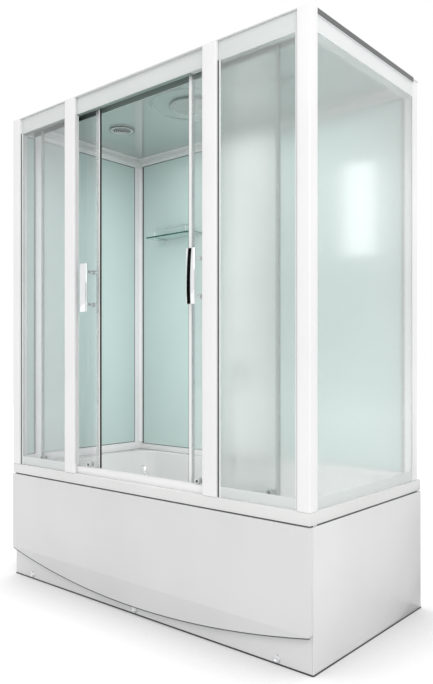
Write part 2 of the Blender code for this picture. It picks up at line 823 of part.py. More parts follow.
def make_door_posts():
    """Two broad posts beside the doorway: a full-height face and a rear spine between sill and header."""
    face_front = FRONT + DOOR_POST_PROUD
    face_back = TRACK_FRONT - SEAT_GAP
    spine_back = RIB_MIDDLE - ROLLER_WIDTH / 2 - DOOR_POST_CLEARANCE
    for side, word in ((-1, "left"), (1, "right")):
        middle = side * DOOR_POST_SPREAD
        left = middle - DOOR_POST_WIDTH / 2
        right = middle + DOOR_POST_WIDTH / 2
        outlines = [
            rounded_rectangle(left, right, face_front, face_back, POST_ROUNDING),
            rectangle(
                left + POST_ROUNDING,
                right - POST_ROUNDING,
                face_front + DOOR_POST_WALL,
                face_back - DOOR_POST_WALL,
            ),
        ]
        post = prism("door_post_face", outlines, "Z", DECK, POST_TOP)
        spine = box(
            "door_post_spine",
            (left + DOOR_POST_REAR_INSET, face_back - DOOR_POST_WALL / 2, SILL_TOP + SEAT_GAP),
            (right - DOOR_POST_REAR_INSET, spine_back, HEADER_BOTTOM - SEAT_GAP),
        )
        join(post, spine)
        piece(post, f"door_post_{word}", white_metal)


def make_front_track():
    """The front header and sill, drawn profiles with a rib for the rollers. The header covers the panes."""
    end = POST_INSIDE - SEAT_GAP
    rib_back = RIB_FRONT + RIB_THICKNESS
    inner_front = TRACK_FRONT + TRACK_WALL
    inner_back = TRACK_BACK - TRACK_WALL
    header = prism(
        "header_profile",
        [
            [
                (TRACK_FRONT, HEADER_BOTTOM),
                (rib_back, HEADER_BOTTOM),
                (rib_back, HEADER_RIB_TOP),
                (RIB_FRONT, HEADER_RIB_TOP),
                (RIB_FRONT, HEADER_BOTTOM + TRACK_WALL),
                (inner_front, HEADER_BOTTOM + TRACK_WALL),
                (inner_front, POST_TOP - TRACK_WALL),
                (inner_back, POST_TOP - TRACK_WALL),
                (inner_back, HEADER_BOTTOM),
                (TRACK_BACK, HEADER_BOTTOM),
                (TRACK_BACK, POST_TOP),
                (TRACK_FRONT, POST_TOP),
            ]
        ],
        "X",
        -end,
        end,
    )
    inner = DOOR_POST_SPREAD + DOOR_POST_WIDTH / 2 + SEAT_GAP
    for side in (-1, 1):
        left, right = mirrored(inner, end, side)
        cover_front = (left, FRONT + PANE_RECESS, HEADER_BOTTOM)
        cover = box("header_cover", cover_front, (right, TRACK_FRONT + TRACK_WALL / 2, POST_TOP))
        join(header, cover)
    piece(header, "header_front", white_metal)
    base_top = DECK + SILL_BASE
    sill = prism(
        "sill_profile",
        [
            [
                (TRACK_FRONT, DECK),
                (TRACK_BACK, DECK),
                (TRACK_BACK, DECK + SILL_BACK_LIP),
                (inner_back, DECK + SILL_BACK_LIP),
                (inner_back, base_top),
                (rib_back, base_top),
                (rib_back, SILL_TOP),
                (RIB_FRONT, SILL_TOP),
                (RIB_FRONT, base_top),
                (inner_front, base_top),
                (inner_front, SILL_TOP),
                (TRACK_FRONT, SILL_TOP),
            ]
        ],
        "X",
        -end,
        end,
    )
    piece(sill, "sill_front", white_metal)


def frame_tube(left, right, low, high):
    """Outer and inner outline of a rectangular frame tube."""
    return [
        rectangle(left, right, low, high),
        rectangle(left + FRAME_WALL, right - FRAME_WALL, low + FRAME_WALL, high - FRAME_WALL),
    ]


def make_side_frames():
    """Headers and sills of the two sides and the back, which run between the posts."""
    front = FRONT_POST_BACK + SEAT_GAP
    back = BACK_INSIDE - SEAT_GAP
    cap = SIDE_PANE_OUTER + SIDE_CAP_PROUD
    cap_bottom = POST_TOP - SIDE_CAP_HEIGHT
    for side, word, sill_top in ((-1, "left", LEFT_SILL_TOP), (1, "right", SIDE_SILL_TOP)):
        outer = [
            (POST_INSIDE, HEADER_BOTTOM),
            (SIDE_PANE_OUTER, HEADER_BOTTOM),
            (SIDE_PANE_OUTER, cap_bottom),
            (cap, cap_bottom),
            (cap, POST_TOP),
            (POST_INSIDE, POST_TOP),
        ]
        inner = frame_tube(POST_INSIDE, SIDE_PANE_OUTER, HEADER_BOTTOM, POST_TOP)[1]
        outlines = [outer, inner] if side > 0 else [flipped(outer), flipped(inner)]
        header = prism("side_header", outlines, "Y", front, back)
        piece(header, f"header_{word}", white_metal)
        left, right = mirrored(POST_INSIDE, SIDE_SILL_OUTER, side)
        sill = prism("side_sill", frame_tube(left, right, DECK, sill_top), "Y", front, back)
        piece(sill, f"sill_{word}", white_metal)
    end = POST_INSIDE - SEAT_GAP
    outlines = frame_tube(BACK_INSIDE, POST_BACK, BACK_HEADER_BOTTOM, POST_TOP)
    header = prism("back_header", outlines, "X", -end, end)
    piece(header, "header_back", white_metal)
    outlines = frame_tube(BACK_INSIDE, POST_BACK, DECK, SIDE_SILL_TOP)
    sill = prism("back_sill", outlines, "X", -end, end)
    piece(sill, "sill_back", white_metal)


def make_fixed_glass():
    """The fixed panes: two in front, one on the right, the left wall and two halves of the back wall."""
    pane_front = FRONT + PANE_RECESS
    inner = DOOR_POST_SPREAD + DOOR_POST_WIDTH / 2 + SEAT_GAP
    outer = POST_INSIDE - SEAT_GAP
    for side, word in ((-1, "left"), (1, "right")):
        left, right = mirrored(inner, outer, side)
        pane = box("front_pane", (left, pane_front, DECK), (right, pane_front + PANE, PANE_TOP))
        piece(pane, f"front_glass_{word}", frosted_glass)
    front = FRONT_POST_BACK + SEAT_GAP
    back = BACK_INSIDE - SEAT_GAP
    pane = box("side_pane", (SIDE_PANE_OUTER - PANE, front, DECK), (SIDE_PANE_OUTER, back, PANE_TOP))
    piece(pane, "side_glass_right", frosted_glass)
    wall = POST_INSIDE + LEFT_WALL_RECESS
    pane = box(
        "left_wall",
        (-wall - PANE, front, LEFT_SILL_TOP + SEAT_GAP),
        (-wall, back, HEADER_BOTTOM - SEAT_GAP),
    )
    piece(pane, "side_glass_left", aqua_glass)
    for side, word in ((-1, "left"), (1, "right")):
        left, right = mirrored(COLUMN_WIDTH / 2 - COLUMN_LAP, POST_INSIDE - SEAT_GAP, side)
        pane = box(
            "back_wall",
            (left, WALL_FACE, SIDE_SILL_TOP + SEAT_GAP),
            (right, WALL_FACE + PANE, BACK_HEADER_BOTTOM - SEAT_GAP),
        )
        piece(pane, f"back_glass_{word}", aqua_glass)


def make_roof():
    """The roof: a flange on the headers and a tray that hangs inside them, with a ring in its ceiling."""
    flange = box(
        "roof_flange",
        (-RIGHT + ROOF_INSET, FRONT + ROOF_INSET, HEIGHT - ROOF_SHEET),
        (RIGHT - ROOF_INSET, POST_BACK, HEIGHT),
    )
    end = POST_INSIDE - SEAT_GAP
    front = TRACK_BACK + SEAT_GAP
    back = BACK_INSIDE - SEAT_GAP
    tray = box("roof_tray", (-end, front, CEILING), (end, back, HEIGHT - ROOF_SHEET / 2))
    hollow = box(
        "roof_hollow",
        (-end + ROOF_SHEET, front + ROOF_SHEET, CEILING + ROOF_SHEET),
        (end - ROOF_SHEET, back - ROOF_SHEET, HEIGHT + OVERRUN),
    )
    inner = CEILING_RING - CEILING_RING_WIDTH
    ring = turned(
        "ceiling_ring",
        [
            (inner, ROOF_SHEET / 2),
            (CEILING_RING, ROOF_SHEET / 2),
            (CEILING_RING, 0),
            (CEILING_RING - CEILING_RING_DROP, -CEILING_RING_DROP),
            (inner + CEILING_RING_DROP, -CEILING_RING_DROP),
            (inner, 0),
        ],
        (0, RAIN_PLACE, CEILING),
        UP,
        DISC_STEPS,
        ring=True,
    )
    join(flange, tray)
    cut(flange, hollow)
    join(flange, ring)
    for across, along, radius in (
        (0, RAIN_PLACE, STEM_RADIUS),
        (-FITTING_SPREAD, FITTING_PLACE, FITTING_SNOUT),
        (FITTING_SPREAD, FITTING_PLACE, FITTING_SNOUT),
    ):
        hole = rod(
            "ceiling_hole",
            (across, along, CEILING - OVERRUN),
            (across, along, CEILING + ROOF_SHEET + OVERRUN),
            radius + SHAFT_CLEARANCE,
            KNOB_STEPS,
        )
        cut(flange, hole)
    piece(flange, "roof", acrylic)


def make_ceiling_fittings():
    """The rain shower, the vent and the lamp. Each has a stem or snout that goes up through the ceiling."""
    rain = turned(
        "rain_shape",
        [
            (0, STEM_HEIGHT),
            (STEM_RADIUS, STEM_HEIGHT),
            (STEM_RADIUS, -SEAT_GAP),
            (RAIN_RADIUS - RAIN_ROUNDING, -SEAT_GAP),
            (RAIN_RADIUS, -SEAT_GAP - RAIN_ROUNDING),
            (RAIN_RADIUS, RAIN_ROUNDING - RAIN_THICKNESS),
            (RAIN_RADIUS - RAIN_ROUNDING, -RAIN_THICKNESS),
            (0, -RAIN_THICKNESS),
        ],
        (0, RAIN_PLACE, CEILING),
        UP,
        DISC_STEPS,
    )
    piece(rain, "rain_shower", chrome)
    for side, name, bulge in ((-1, "ceiling_vent", 0), (1, "ceiling_lamp", LAMP_BULGE)):
        fitting = turned(
            f"{name}_shape",
            [
                (0, STEM_HEIGHT),
                (FITTING_SNOUT, STEM_HEIGHT),
                (FITTING_SNOUT, -SEAT_GAP),
                (FITTING_RADIUS, -SEAT_GAP),
                (FITTING_RADIUS, -FITTING_THICKNESS / 2),
                (FITTING_SNOUT, -FITTING_THICKNESS),
                (FITTING_SNOUT / 2, -FITTING_THICKNESS - bulge),
                (0, -FITTING_THICKNESS - bulge),
            ],
            (side * FITTING_SPREAD, FITTING_PLACE, CEILING),
            UP,
            KNOB_STEPS,
        )
        piece(fitting, name, white_plastic)


def make_shelf():
    """The glass shelf, and the chromed carrier that holds it: wall feet, arms, posts and a rail."""
    right = -SHELF_LEFT + SHELF_LENGTH
    front = WALL_FACE - SHELF_REACH
    under = SHELF_TOP - SHELF_GLASS
    glass_back = WALL_FACE - SEAT_GAP * 2 - SHELF_FOOT_THICKNESS
    glass = box("shelf_sheet", (-SHELF_LEFT, front, under), (right, glass_back, SHELF_TOP))
    soften(glass, SHELF_ROUNDING, 1)
    post_line = front + SHELF_RAIL_INSET
    rail_height = SHELF_TOP + SHELF_RAIL_RISE
    arm_height = under - SEAT_GAP - SHELF_ROD
    foot_face = WALL_FACE - SEAT_GAP
    carrier_shape = rod(
        "shelf_rail_bar",
        (-SHELF_LEFT + SHELF_RAIL_MARGIN, post_line, rail_height),
        (right - SHELF_RAIL_MARGIN, post_line, rail_height),
        SHELF_ROD,
    )
    for across in (-SHELF_LEFT + SHELF_POST_MARGIN, right - SHELF_POST_MARGIN):
        foot_of_post = (across, post_line, arm_height)
        post = rod("shelf_post", foot_of_post, (across, post_line, rail_height), SHELF_PIN)
        arm = rod(
            "shelf_arm",
            (across, post_line - SHELF_ROD * 2, arm_height),
            (across, foot_face - SHELF_FOOT_THICKNESS / 2, arm_height),
            SHELF_ROD,
        )
        wall_foot = rod(
            "shelf_foot",
            (across, foot_face - SHELF_FOOT_THICKNESS, arm_height),
            (across, foot_face, arm_height),
            SHELF_FOOT_RADIUS,
        )
        join(carrier_shape, post, arm, wall_foot)
        hole = rod(
            "shelf_hole",
            (across, post_line, under - OVERRUN),
            (across, post_line, SHELF_TOP + OVERRUN),
            SHELF_PIN + SHAFT_CLEARANCE,
            HOLE_STEPS,
        )
        cut(glass, hole)
    piece(glass, "shelf_glass", clear_glass)
    piece(carrier_shape, "shelf_rail", chrome)


def column_outline(inset, back):
    """The level outline of the column, drawn in by an inset: its front has round corners."""
    half = COLUMN_WIDTH / 2 - inset
    radius = COLUMN_ROUNDING - inset
    face = COLUMN_FACE + inset
    outline = [(half, back), (-half, back)]
    for middle, turn in ((-half + radius, pi), (half - radius, 3 * pi / 2)):
        for step in range(CORNER_STEPS + 1):
            angle = turn + step * pi / 2 / CORNER_STEPS
            outline.append((middle + radius * cos(angle), face + radius + radius * sin(angle)))
    return outline


def make_column():
    """The shower column: a hollow moulding on the back wall, open behind, with holes for its controls."""
    low = SIDE_SILL_TOP + SEAT_GAP
    high = HEADER_BOTTOM - SEAT_GAP
    back = WALL_FACE - SEAT_GAP
    column = prism("column_block", [column_outline(0, back)], "Z", low, high)
    inside = [column_outline(COLUMN_WALL, back + OVERRUN)]
    hollow = prism("column_hollow", inside, "Z", low + COLUMN_WALL, high - COLUMN_WALL)
    cut(column, hollow)
    for height, radius in ((MIXER_HEIGHT, MIXER_STUB), (DIVERTER_HEIGHT, DIVERTER_SHAFT)):
        hole = rod(
            "column_hole",
            (0, COLUMN_FACE - OVERRUN, height),
            (0, COLUMN_FACE + COLUMN_WALL + OVERRUN, height),
            radius + SHAFT_CLEARANCE,
            KNOB_STEPS,
        )
        cut(column, hole)
    piece(column, "shower_column", acrylic)


def spout_points():
    """The middle line of the spout: down out of the barrel, round a bend and forward."""
    start = COLUMN_FACE - MIXER_LENGTH / 2
    bend_top = MIXER_HEIGHT - SPOUT_DROP
    points = [(0, start, MIXER_HEIGHT - SPOUT_RADIUS)]
    for step in range(FILLET_STEPS + 1):
        angle = step * pi / 2 / FILLET_STEPS
        points.append((0, start - SPOUT_BEND * (1 - cos(angle)), bend_top - SPOUT_BEND * sin(angle)))
    points.append((0, start - SPOUT_BEND - SPOUT_REACH, bend_top - SPOUT_BEND - SPOUT_RADIUS))
    return points


def make_mixer():
    """The mixer: a barrel with its spout, a dome that swivels on it and a lever pinned in the dome."""
    place = Vector((0, COLUMN_FACE, MIXER_HEIGHT))
    body = turned(
        "mixer_shape",
        [
            (0, MIXER_LENGTH),
            (MIXER_BARREL, MIXER_LENGTH),
            (MIXER_BARREL, MIXER_FLANGE_THICKNESS),
            (MIXER_FLANGE, MIXER_FLANGE_THICKNESS / 2),
            (MIXER_FLANGE, SEAT_GAP),
            (MIXER_STUB, SEAT_GAP),
            (MIXER_STUB, -MIXER_STUB_LENGTH),
            (0, -MIXER_STUB_LENGTH),
        ],
        place,
        TO_FRONT,
        KNOB_STEPS,
    )
    join(body, tube("spout_tube", spout_points(), SPOUT_RADIUS))
    piece(body, "bath_mixer", chrome)
    swivel = carrier("mixer_swivel", place)
    low = MIXER_LENGTH + SEAT_GAP
    dome = turned(
        "dome_shape",
        [
            (0, low + DOME_HEIGHT),
            (MIXER_BARREL * sin(pi / 6), low + DOME_HEIGHT * cos(pi / 6)),
            (MIXER_BARREL * sin(pi / 3), low + DOME_HEIGHT * cos(pi / 3)),
            (MIXER_BARREL, low + DOME_HEIGHT / 6),
            (MIXER_BARREL, low),
            (0, low),
        ],
        place,
        TO_FRONT,
        KNOB_STEPS,
    )
    pin = Vector((0, COLUMN_FACE - low - LEVER_PIN_OUT, MIXER_HEIGHT))
    behind = LEVER_ROOT + LEVER_SLOT_CLEARANCE
    slot = box(
        "lever_slot",
        (-LEVER_SLOT / 2, pin.y - DOME_HEIGHT, MIXER_HEIGHT - behind),
        (LEVER_SLOT / 2, pin.y + behind, MIXER_HEIGHT + MIXER_BARREL + OVERRUN),
    )
    reach = Vector((LEVER_PIN_LENGTH / 2, 0, 0))
    past = Vector((MIXER_BARREL + OVERRUN, 0, 0))
    pin_hole = rod("lever_pin_hole", pin - past, pin + past, LEVER_PIN + SHAFT_CLEARANCE)
    cut(dome, slot, pin_hole)
    piece(dome, "mixer_dome", chrome, swivel)
    tilt = carrier("lever_tilt", pin)
    root = Vector((LEVER_SLOT / 2 - SHAFT_CLEARANCE, 0, 0))
    lever = rod("lever_root", pin - root, pin + root, LEVER_ROOT)
    arm = box(
        "lever_arm",
        (-root.x, pin.y - LEVER_THICKNESS / 2, MIXER_HEIGHT),
        (root.x, pin.y + LEVER_THICKNESS / 2, MIXER_HEIGHT + LEVER_LENGTH),
    )
    soften(arm, LEVER_THICKNESS / 4, 1)
    join(lever, arm, rod("lever_pin", pin - reach, pin + reach, LEVER_PIN))
    piece(lever, "mixer_lever", chrome, tilt)


def make_diverter():
    """The diverter knob on the column, with a grip across it and a shaft through the column's face."""
    place = Vector((0, COLUMN_FACE, DIVERTER_HEIGHT))
    knob = turned(
        "diverter_shape",
        [
            (0, DIVERTER_THICKNESS),
            (DIVERTER_RADIUS - RAIN_ROUNDING, DIVERTER_THICKNESS),
            (DIVERTER_RADIUS, DIVERTER_THICKNESS - RAIN_ROUNDING),
            (DIVERTER_RADIUS, SEAT_GAP),
            (DIVERTER_SHAFT, SEAT_GAP),
            (DIVERTER_SHAFT, -DIVERTER_SHAFT_LENGTH),
            (0, -DIVERTER_SHAFT_LENGTH),
        ],
        place,
        TO_FRONT,
        KNOB_STEPS,
    )
    grip = box(
        "diverter_grip",
        (
            -DIVERTER_GRIP / 2,
            COLUMN_FACE - DIVERTER_THICKNESS - DIVERTER_GRIP_RISE,
            DIVERTER_HEIGHT - DIVERTER_RADIUS + RAIN_ROUNDING,
        ),
        (
            DIVERTER_GRIP / 2,
            COLUMN_FACE - DIVERTER_THICKNESS / 2,
            DIVERTER_HEIGHT + DIVERTER_RADIUS - RAIN_ROUNDING,
        ),
    )
    join(knob, grip)
    piece(knob, "diverter_knob", chrome)


def roller_places(side):
    """The name, place across and axle height of each of a door's four rollers."""
    word = "left" if side < 0 else "right"
    places = []
    for level, height in (("upper", UPPER_AXLE), ("lower", LOWER_AXLE)):
        for edge, across in (
            ("leading", DOOR_LEADING + LEADING_ROLLER_INSET),
            ("trailing", DOOR_TRAILING - TRAILING_ROLLER_INSET),
        ):
            places.append((f"{word}_{level}_{edge}_roller", side * across, height))
    return places


def make_rollers(side, carrier_empty):
    """A door's four grooved rollers, each turned in one piece with the axle that goes through the glass."""
    half = ROLLER_WIDTH / 2
    groove = RIB_THICKNESS / 2 + ROLLER_SIDE_CLEARANCE
    glass_front = DOOR_FRONT - RIB_MIDDLE
    glass_back = DOOR_BACK - RIB_MIDDLE
    nut = glass_back + SEAT_GAP
    profile = [
        (0, nut + ROLLER_NUT_THICKNESS),
        (ROLLER_NUT, nut + ROLLER_NUT_THICKNESS),
        (ROLLER_NUT, nut),
        (ROLLER_AXLE, nut),
        (ROLLER_AXLE, glass_front - SEAT_GAP),
        (ROLLER_COLLAR, glass_front - SEAT_GAP),
        (ROLLER_COLLAR, half),
        (ROLLER_RADIUS, half),
        (ROLLER_RADIUS, groove + ROLLER_FLANK),
        (ROLLER_GROOVE, groove),
        (ROLLER_GROOVE, -groove),
        (ROLLER_RADIUS, -groove - ROLLER_FLANK),
        (ROLLER_RADIUS, -half),
        (0, -half),
    ]
    for name, across, height in roller_places(side):
        axle = carrier(f"{name}_axle", (across, RIB_MIDDLE, height))
        roller = turned(f"{name}_shape", profile, (across, RIB_MIDDLE, height), TO_BACK, ROLLER_STEPS)
        piece(roller, name, black_plastic, axle)
        axle.parent = carrier_empty
        axle.location = axle.location - carrier_empty.location


def handle_bolt_heights():
    """The heights of a handle's two bolts."""
    return (HANDLE_MIDDLE - HANDLE_BOLT_SPACING / 2, HANDLE_MIDDLE + HANDLE_BOLT_SPACING / 2)


def make_handle(side, word, slide):
    """A door's handle: an upright bar on two standoffs, bolted through the glass to inner knobs."""
    middle = side * (DOOR_LEADING + HANDLE_INSET)
    front = FRONT + HANDLE_PROUD
    back = front + HANDLE_THICKNESS
    half = HANDLE_WIDTH / 2
    bar = prism(
        "handle_bar",
        [rounded_rectangle(middle - half, middle + half, front, back, HANDLE_ROUNDING)],
        "Z",
        HANDLE_MIDDLE - HANDLE_LENGTH / 2,
        HANDLE_MIDDLE + HANDLE_LENGTH / 2,
    )
    soften(bar, HANDLE_EDGE)
    inside = back - HANDLE_THICKNESS / 2
    knob = DOOR_BACK + SEAT_GAP - inside
    profile = [
        (0, knob + HANDLE_KNOB_THICKNESS),
        (HANDLE_KNOB - HANDLE_EDGE, knob + HANDLE_KNOB_THICKNESS),
        (HANDLE_KNOB, knob + HANDLE_KNOB_THICKNESS - HANDLE_EDGE),
        (HANDLE_KNOB, knob),
        (HANDLE_BOLT, knob),
        (HANDLE_BOLT, DOOR_FRONT - SEAT_GAP - inside),
        (HANDLE_STANDOFF, DOOR_FRONT - SEAT_GAP - inside),
        (HANDLE_STANDOFF, 0),
        (0, 0),
    ]
    for height in handle_bolt_heights():
        join(bar, turned("handle_bolt", profile, (middle, inside, height), TO_BACK, SMALL_TURN_STEPS))
    piece(bar, f"handle_{word}", chrome, slide)


def make_door(side):
    """One sliding door: its glass with holes for rollers and handle, its seal, rollers and handle."""
    word = "left" if side < 0 else "right"
    slide = carrier(f"{word}_door_slide", (side * DOOR_LEADING, DOOR_FRONT, 0))
    left, right = mirrored(DOOR_LEADING + SEAL_REACH, DOOR_TRAILING, side)
    glass = box("door_sheet", (left, DOOR_FRONT, DOOR_BOTTOM), (right, DOOR_BACK, DOOR_TOP))
    handle_middle = side * (DOOR_LEADING + HANDLE_INSET)
    holes = [(across, height, ROLLER_AXLE) for name, across, height in roller_places(side)]
    holes += [(handle_middle, height, HANDLE_BOLT) for height in handle_bolt_heights()]
    for across, height, radius in holes:
        hole = rod(
            "door_hole",
            (across, DOOR_FRONT - OVERRUN, height),
            (across, DOOR_BACK + OVERRUN, height),
            radius + SHAFT_CLEARANCE,
            HOLE_STEPS,
        )
        cut(glass, hole)
    piece(glass, f"door_glass_{word}", clear_glass, slide)
    edge = DOOR_LEADING + SEAL_REACH - SEAT_GAP
    leg_end = edge + SEAL_LEG
    front = DOOR_FRONT - SEAT_GAP
    back = DOOR_BACK + SEAT_GAP
    outline = [
        (DOOR_LEADING, front - SEAL_WALL),
        (leg_end, front - SEAL_WALL),
        (leg_end, front),
        (edge, front),
        (edge, back),
        (leg_end, back),
        (leg_end, back + SEAL_WALL),
        (DOOR_LEADING, back + SEAL_WALL),
    ]
    if side < 0:
        outline = flipped(outline)
    seal = prism("seal_profile", [outline], "Z", DOOR_BOTTOM, DOOR_TOP)
    piece(seal, f"magnet_seal_{word}", white_plastic, slide)
    make_rollers(side, slide)
    make_handle(side, word, slide)


clear_scene()
parts = new_collection("shower_cabin")
cutters = new_collection("cutters")
acrylic = finish("white_acrylic", (0.86, 0.86, 0.85), 0.18)
white_metal = finish("white_coated_aluminium", (0.88, 0.86, 0.87), 0.30)
white_plastic = finish("white_plastic", (0.82, 0.83, 0.83), 0.40)
black_plastic = finish("black_plastic", (0.02, 0.02, 0.02), 0.45)
chrome = finish("chrome", (0.80, 0.81, 0.82), 0.06, metallic=1.0)
zinc = finish("zinc_plated_steel", (0.55, 0.56, 0.57), 0.40, metallic=1.0)
clear_glass = finish("clear_glass", (0.86, 0.95, 0.93), 0.02, transmission=0.9)
frosted_glass = finish("frosted_glass", (0.88, 0.94, 0.93), 0.35, transmission=0.8)
aqua_glass = finish("aqua_backed_glass", (0.52, 0.68, 0.63), 0.08)
make_bath()
make_waste()
make_base_frame()
make_feet()
make_panels()
make_corner_posts()
make_door_posts()
make_front_track()
make_side_frames()
make_fixed_glass()
make_roof()
make_ceiling_fittings()
make_shelf()
make_column()
make_mixer()
make_diverter()
make_door(-1)
make_door(1)
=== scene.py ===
"""Looks of a shower-bath cabin: finishes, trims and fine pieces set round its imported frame.

Metres, +Z up. The front with the doors faces -Y. Sizes of trims are fields of the classes
that make them, and places come from the frame's own pieces.
"""
import logging
from collections.abc import Sequence
from dataclasses import dataclass, replace
from enum import Enum
from math import cos, pi, radians, sin, tau

import bmesh
import bpy
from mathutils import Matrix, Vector


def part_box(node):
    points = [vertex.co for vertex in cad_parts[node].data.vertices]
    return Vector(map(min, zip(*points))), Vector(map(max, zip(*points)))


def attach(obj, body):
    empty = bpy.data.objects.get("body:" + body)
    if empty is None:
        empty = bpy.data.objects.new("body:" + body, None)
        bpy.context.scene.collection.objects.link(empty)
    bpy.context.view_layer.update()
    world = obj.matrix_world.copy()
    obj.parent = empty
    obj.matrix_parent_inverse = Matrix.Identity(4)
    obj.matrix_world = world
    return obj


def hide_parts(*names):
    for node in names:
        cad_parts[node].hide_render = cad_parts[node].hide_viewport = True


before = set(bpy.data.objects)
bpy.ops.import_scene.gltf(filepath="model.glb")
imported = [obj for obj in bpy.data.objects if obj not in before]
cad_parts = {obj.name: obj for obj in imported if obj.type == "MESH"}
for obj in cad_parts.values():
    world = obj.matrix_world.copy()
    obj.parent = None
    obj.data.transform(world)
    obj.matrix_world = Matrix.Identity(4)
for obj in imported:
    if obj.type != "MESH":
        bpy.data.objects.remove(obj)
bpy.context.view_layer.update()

log = logging.getLogger("shower_cabin")

Colour = tuple[float, float, float]
Point = tuple[float, float, float]
Pair = tuple[float, float]
Outline = Sequence[Pair]
Shape = bmesh.types.BMesh
Socket = bpy.types.NodeSocket

SEAT = 0.0002  # How far a trim stands off the piece that it sits on.
WELD_GAP = 0.00002
SOFT_SEGMENTS = 2
SOFT_ABOVE = 40.0  # Edges that turn more than this, in degrees, are softened.
SIDES = ((-1, "left"), (1, "right"))
TO_RIGHT = Vector((1, 0, 0))
TO_FRONT = Vector((0, -1, 0))
TO_BACK = Vector((0, 1, 0))
DOWN = Vector((0, 0, -1))


class Axis(Enum):
    """A direction that a profile is drawn along, or that a pane is thin in."""

    X = 0
    Y = 1
    Z = 2


class Grain(Enum):
    """The fine surface that a finish has, as its repeats per metre along each direction."""

    MOULDED = (90.0, 90.0, 90.0)
    COATED = (900.0, 900.0, 60.0)
    SPUN = (1400.0, 1400.0, 40.0)
    RUBBERY = (1500.0, 1500.0, 1500.0)
    FROSTED = (2200.0, 2200.0, 2200.0)


class Body(Enum):
    """Bodies that pieces of this scene ride on."""

    CABIN = "cabin"
    LEFT_DOOR = "left_door"
    RIGHT_DOOR = "right_door"


# Finishes


@dataclass(frozen=True)
class Graph:
    """The nodes of one material or of the world, with short ways to add to them."""

    tree: bpy.types.NodeTree

    def feed(self, socket: Socket, value: object) -> None:
        """Give an input a value.

        Args:
            socket: The input.
            value: A plain value, or the output of another node, which is then linked.
        """
        if isinstance(value, Socket):
            self.tree.links.new(value, socket)
        else:
            socket.default_value = value

    def add(self, kind: str, **inputs: object) -> bpy.types.Node:
        """Add a node.

        Args:
            kind: Its type, without the leading ShaderNode.
            inputs: What its inputs take, by their names.

        Returns:
            The node.
        """
        node = self.tree.nodes.new(f"ShaderNode{kind}")
        for name, value in inputs.items():
            self.feed(node.inputs[name], value)
        return node

    def math(self, operation: str, first: object, second: object = 0.0) -> Socket:
        """Add one sum.

        Args:
            operation: What it does.
            first: Its first value, plain or linked.
            second: Its second value.

        Returns:
            Its result.
        """
        node = self.add("Math")
        node.operation = operation
        for socket, value in zip(node.inputs, (first, second)):
            self.feed(socket, value)
        return node.outputs[0]

    def part(self, vector: Socket, axis: Axis) -> Socket:
        """Return one part of a vector."""
        return self.add("SeparateXYZ", Vector=vector).outputs[axis.name]

    def mixed(self, share: Socket, none: object, full: object) -> Socket:
        """Mix two colours.

        Args:
            share: How much of the second colour there is, from 0 to 1.
            none: The first colour.
            full: The second colour.

        Returns:
            The mixed colour.
        """
        node = self.add("Mix", Factor=share)
        node.data_type = "RGBA"
        self.feed(node.inputs[6], none)
        self.feed(node.inputs[7], full)
        return node.outputs[2]

    def ranged(self, value: Socket, source: Pair, target: Pair = (0.0, 1.0)) -> Socket:
        """Spread a value from one range over another, held at the ends.

        Args:
            value: The value.
            source: The range that it comes from.
            target: The range that it is spread over.

        Returns:
            The spread value.
        """
        node = self.add("MapRange", Value=value)
        for name, limit in zip(("From Min", "From Max", "To Min", "To Max"), source + target):
            node.inputs[name].default_value = limit
        return node.outputs["Result"]

    def noise(self, place: Socket, repeats: Point, detail: float) -> Socket:
        """Add a noise.

        Args:
            place: The space that it is worked out in.
            repeats: How often it repeats along each direction, per metre.
            detail: How many finer layers it has.

        Returns:
            The noise's value, about a half on average.
        """
        spread = self.add("Mapping", Vector=place, Scale=repeats).outputs["Vector"]
        return self.add("TexNoise", Vector=spread, Scale=1.0, Detail=detail).outputs["Fac"]

    def seen(self) -> Socket:
        """Add the test for rays that show a surface: straight, mirrored or through glass.

        Returns:
            A value that is 1 for such a ray.
        """
        path = self.add("LightPath")
        total = path.outputs["Is Camera Ray"]
        for kind in ("Is Glossy Ray", "Is Transmission Ray"):
            total = self.math("MAXIMUM", total, path.outputs[kind])
        return total


MADE: dict[str, bpy.types.Material] = {}
NOISE_RANGE = (0.3, 0.7)
BROAD_REPEATS = (2.2, 2.2, 2.2)
BROAD_DETAIL = 3.0
FINE_DETAIL = 2.0


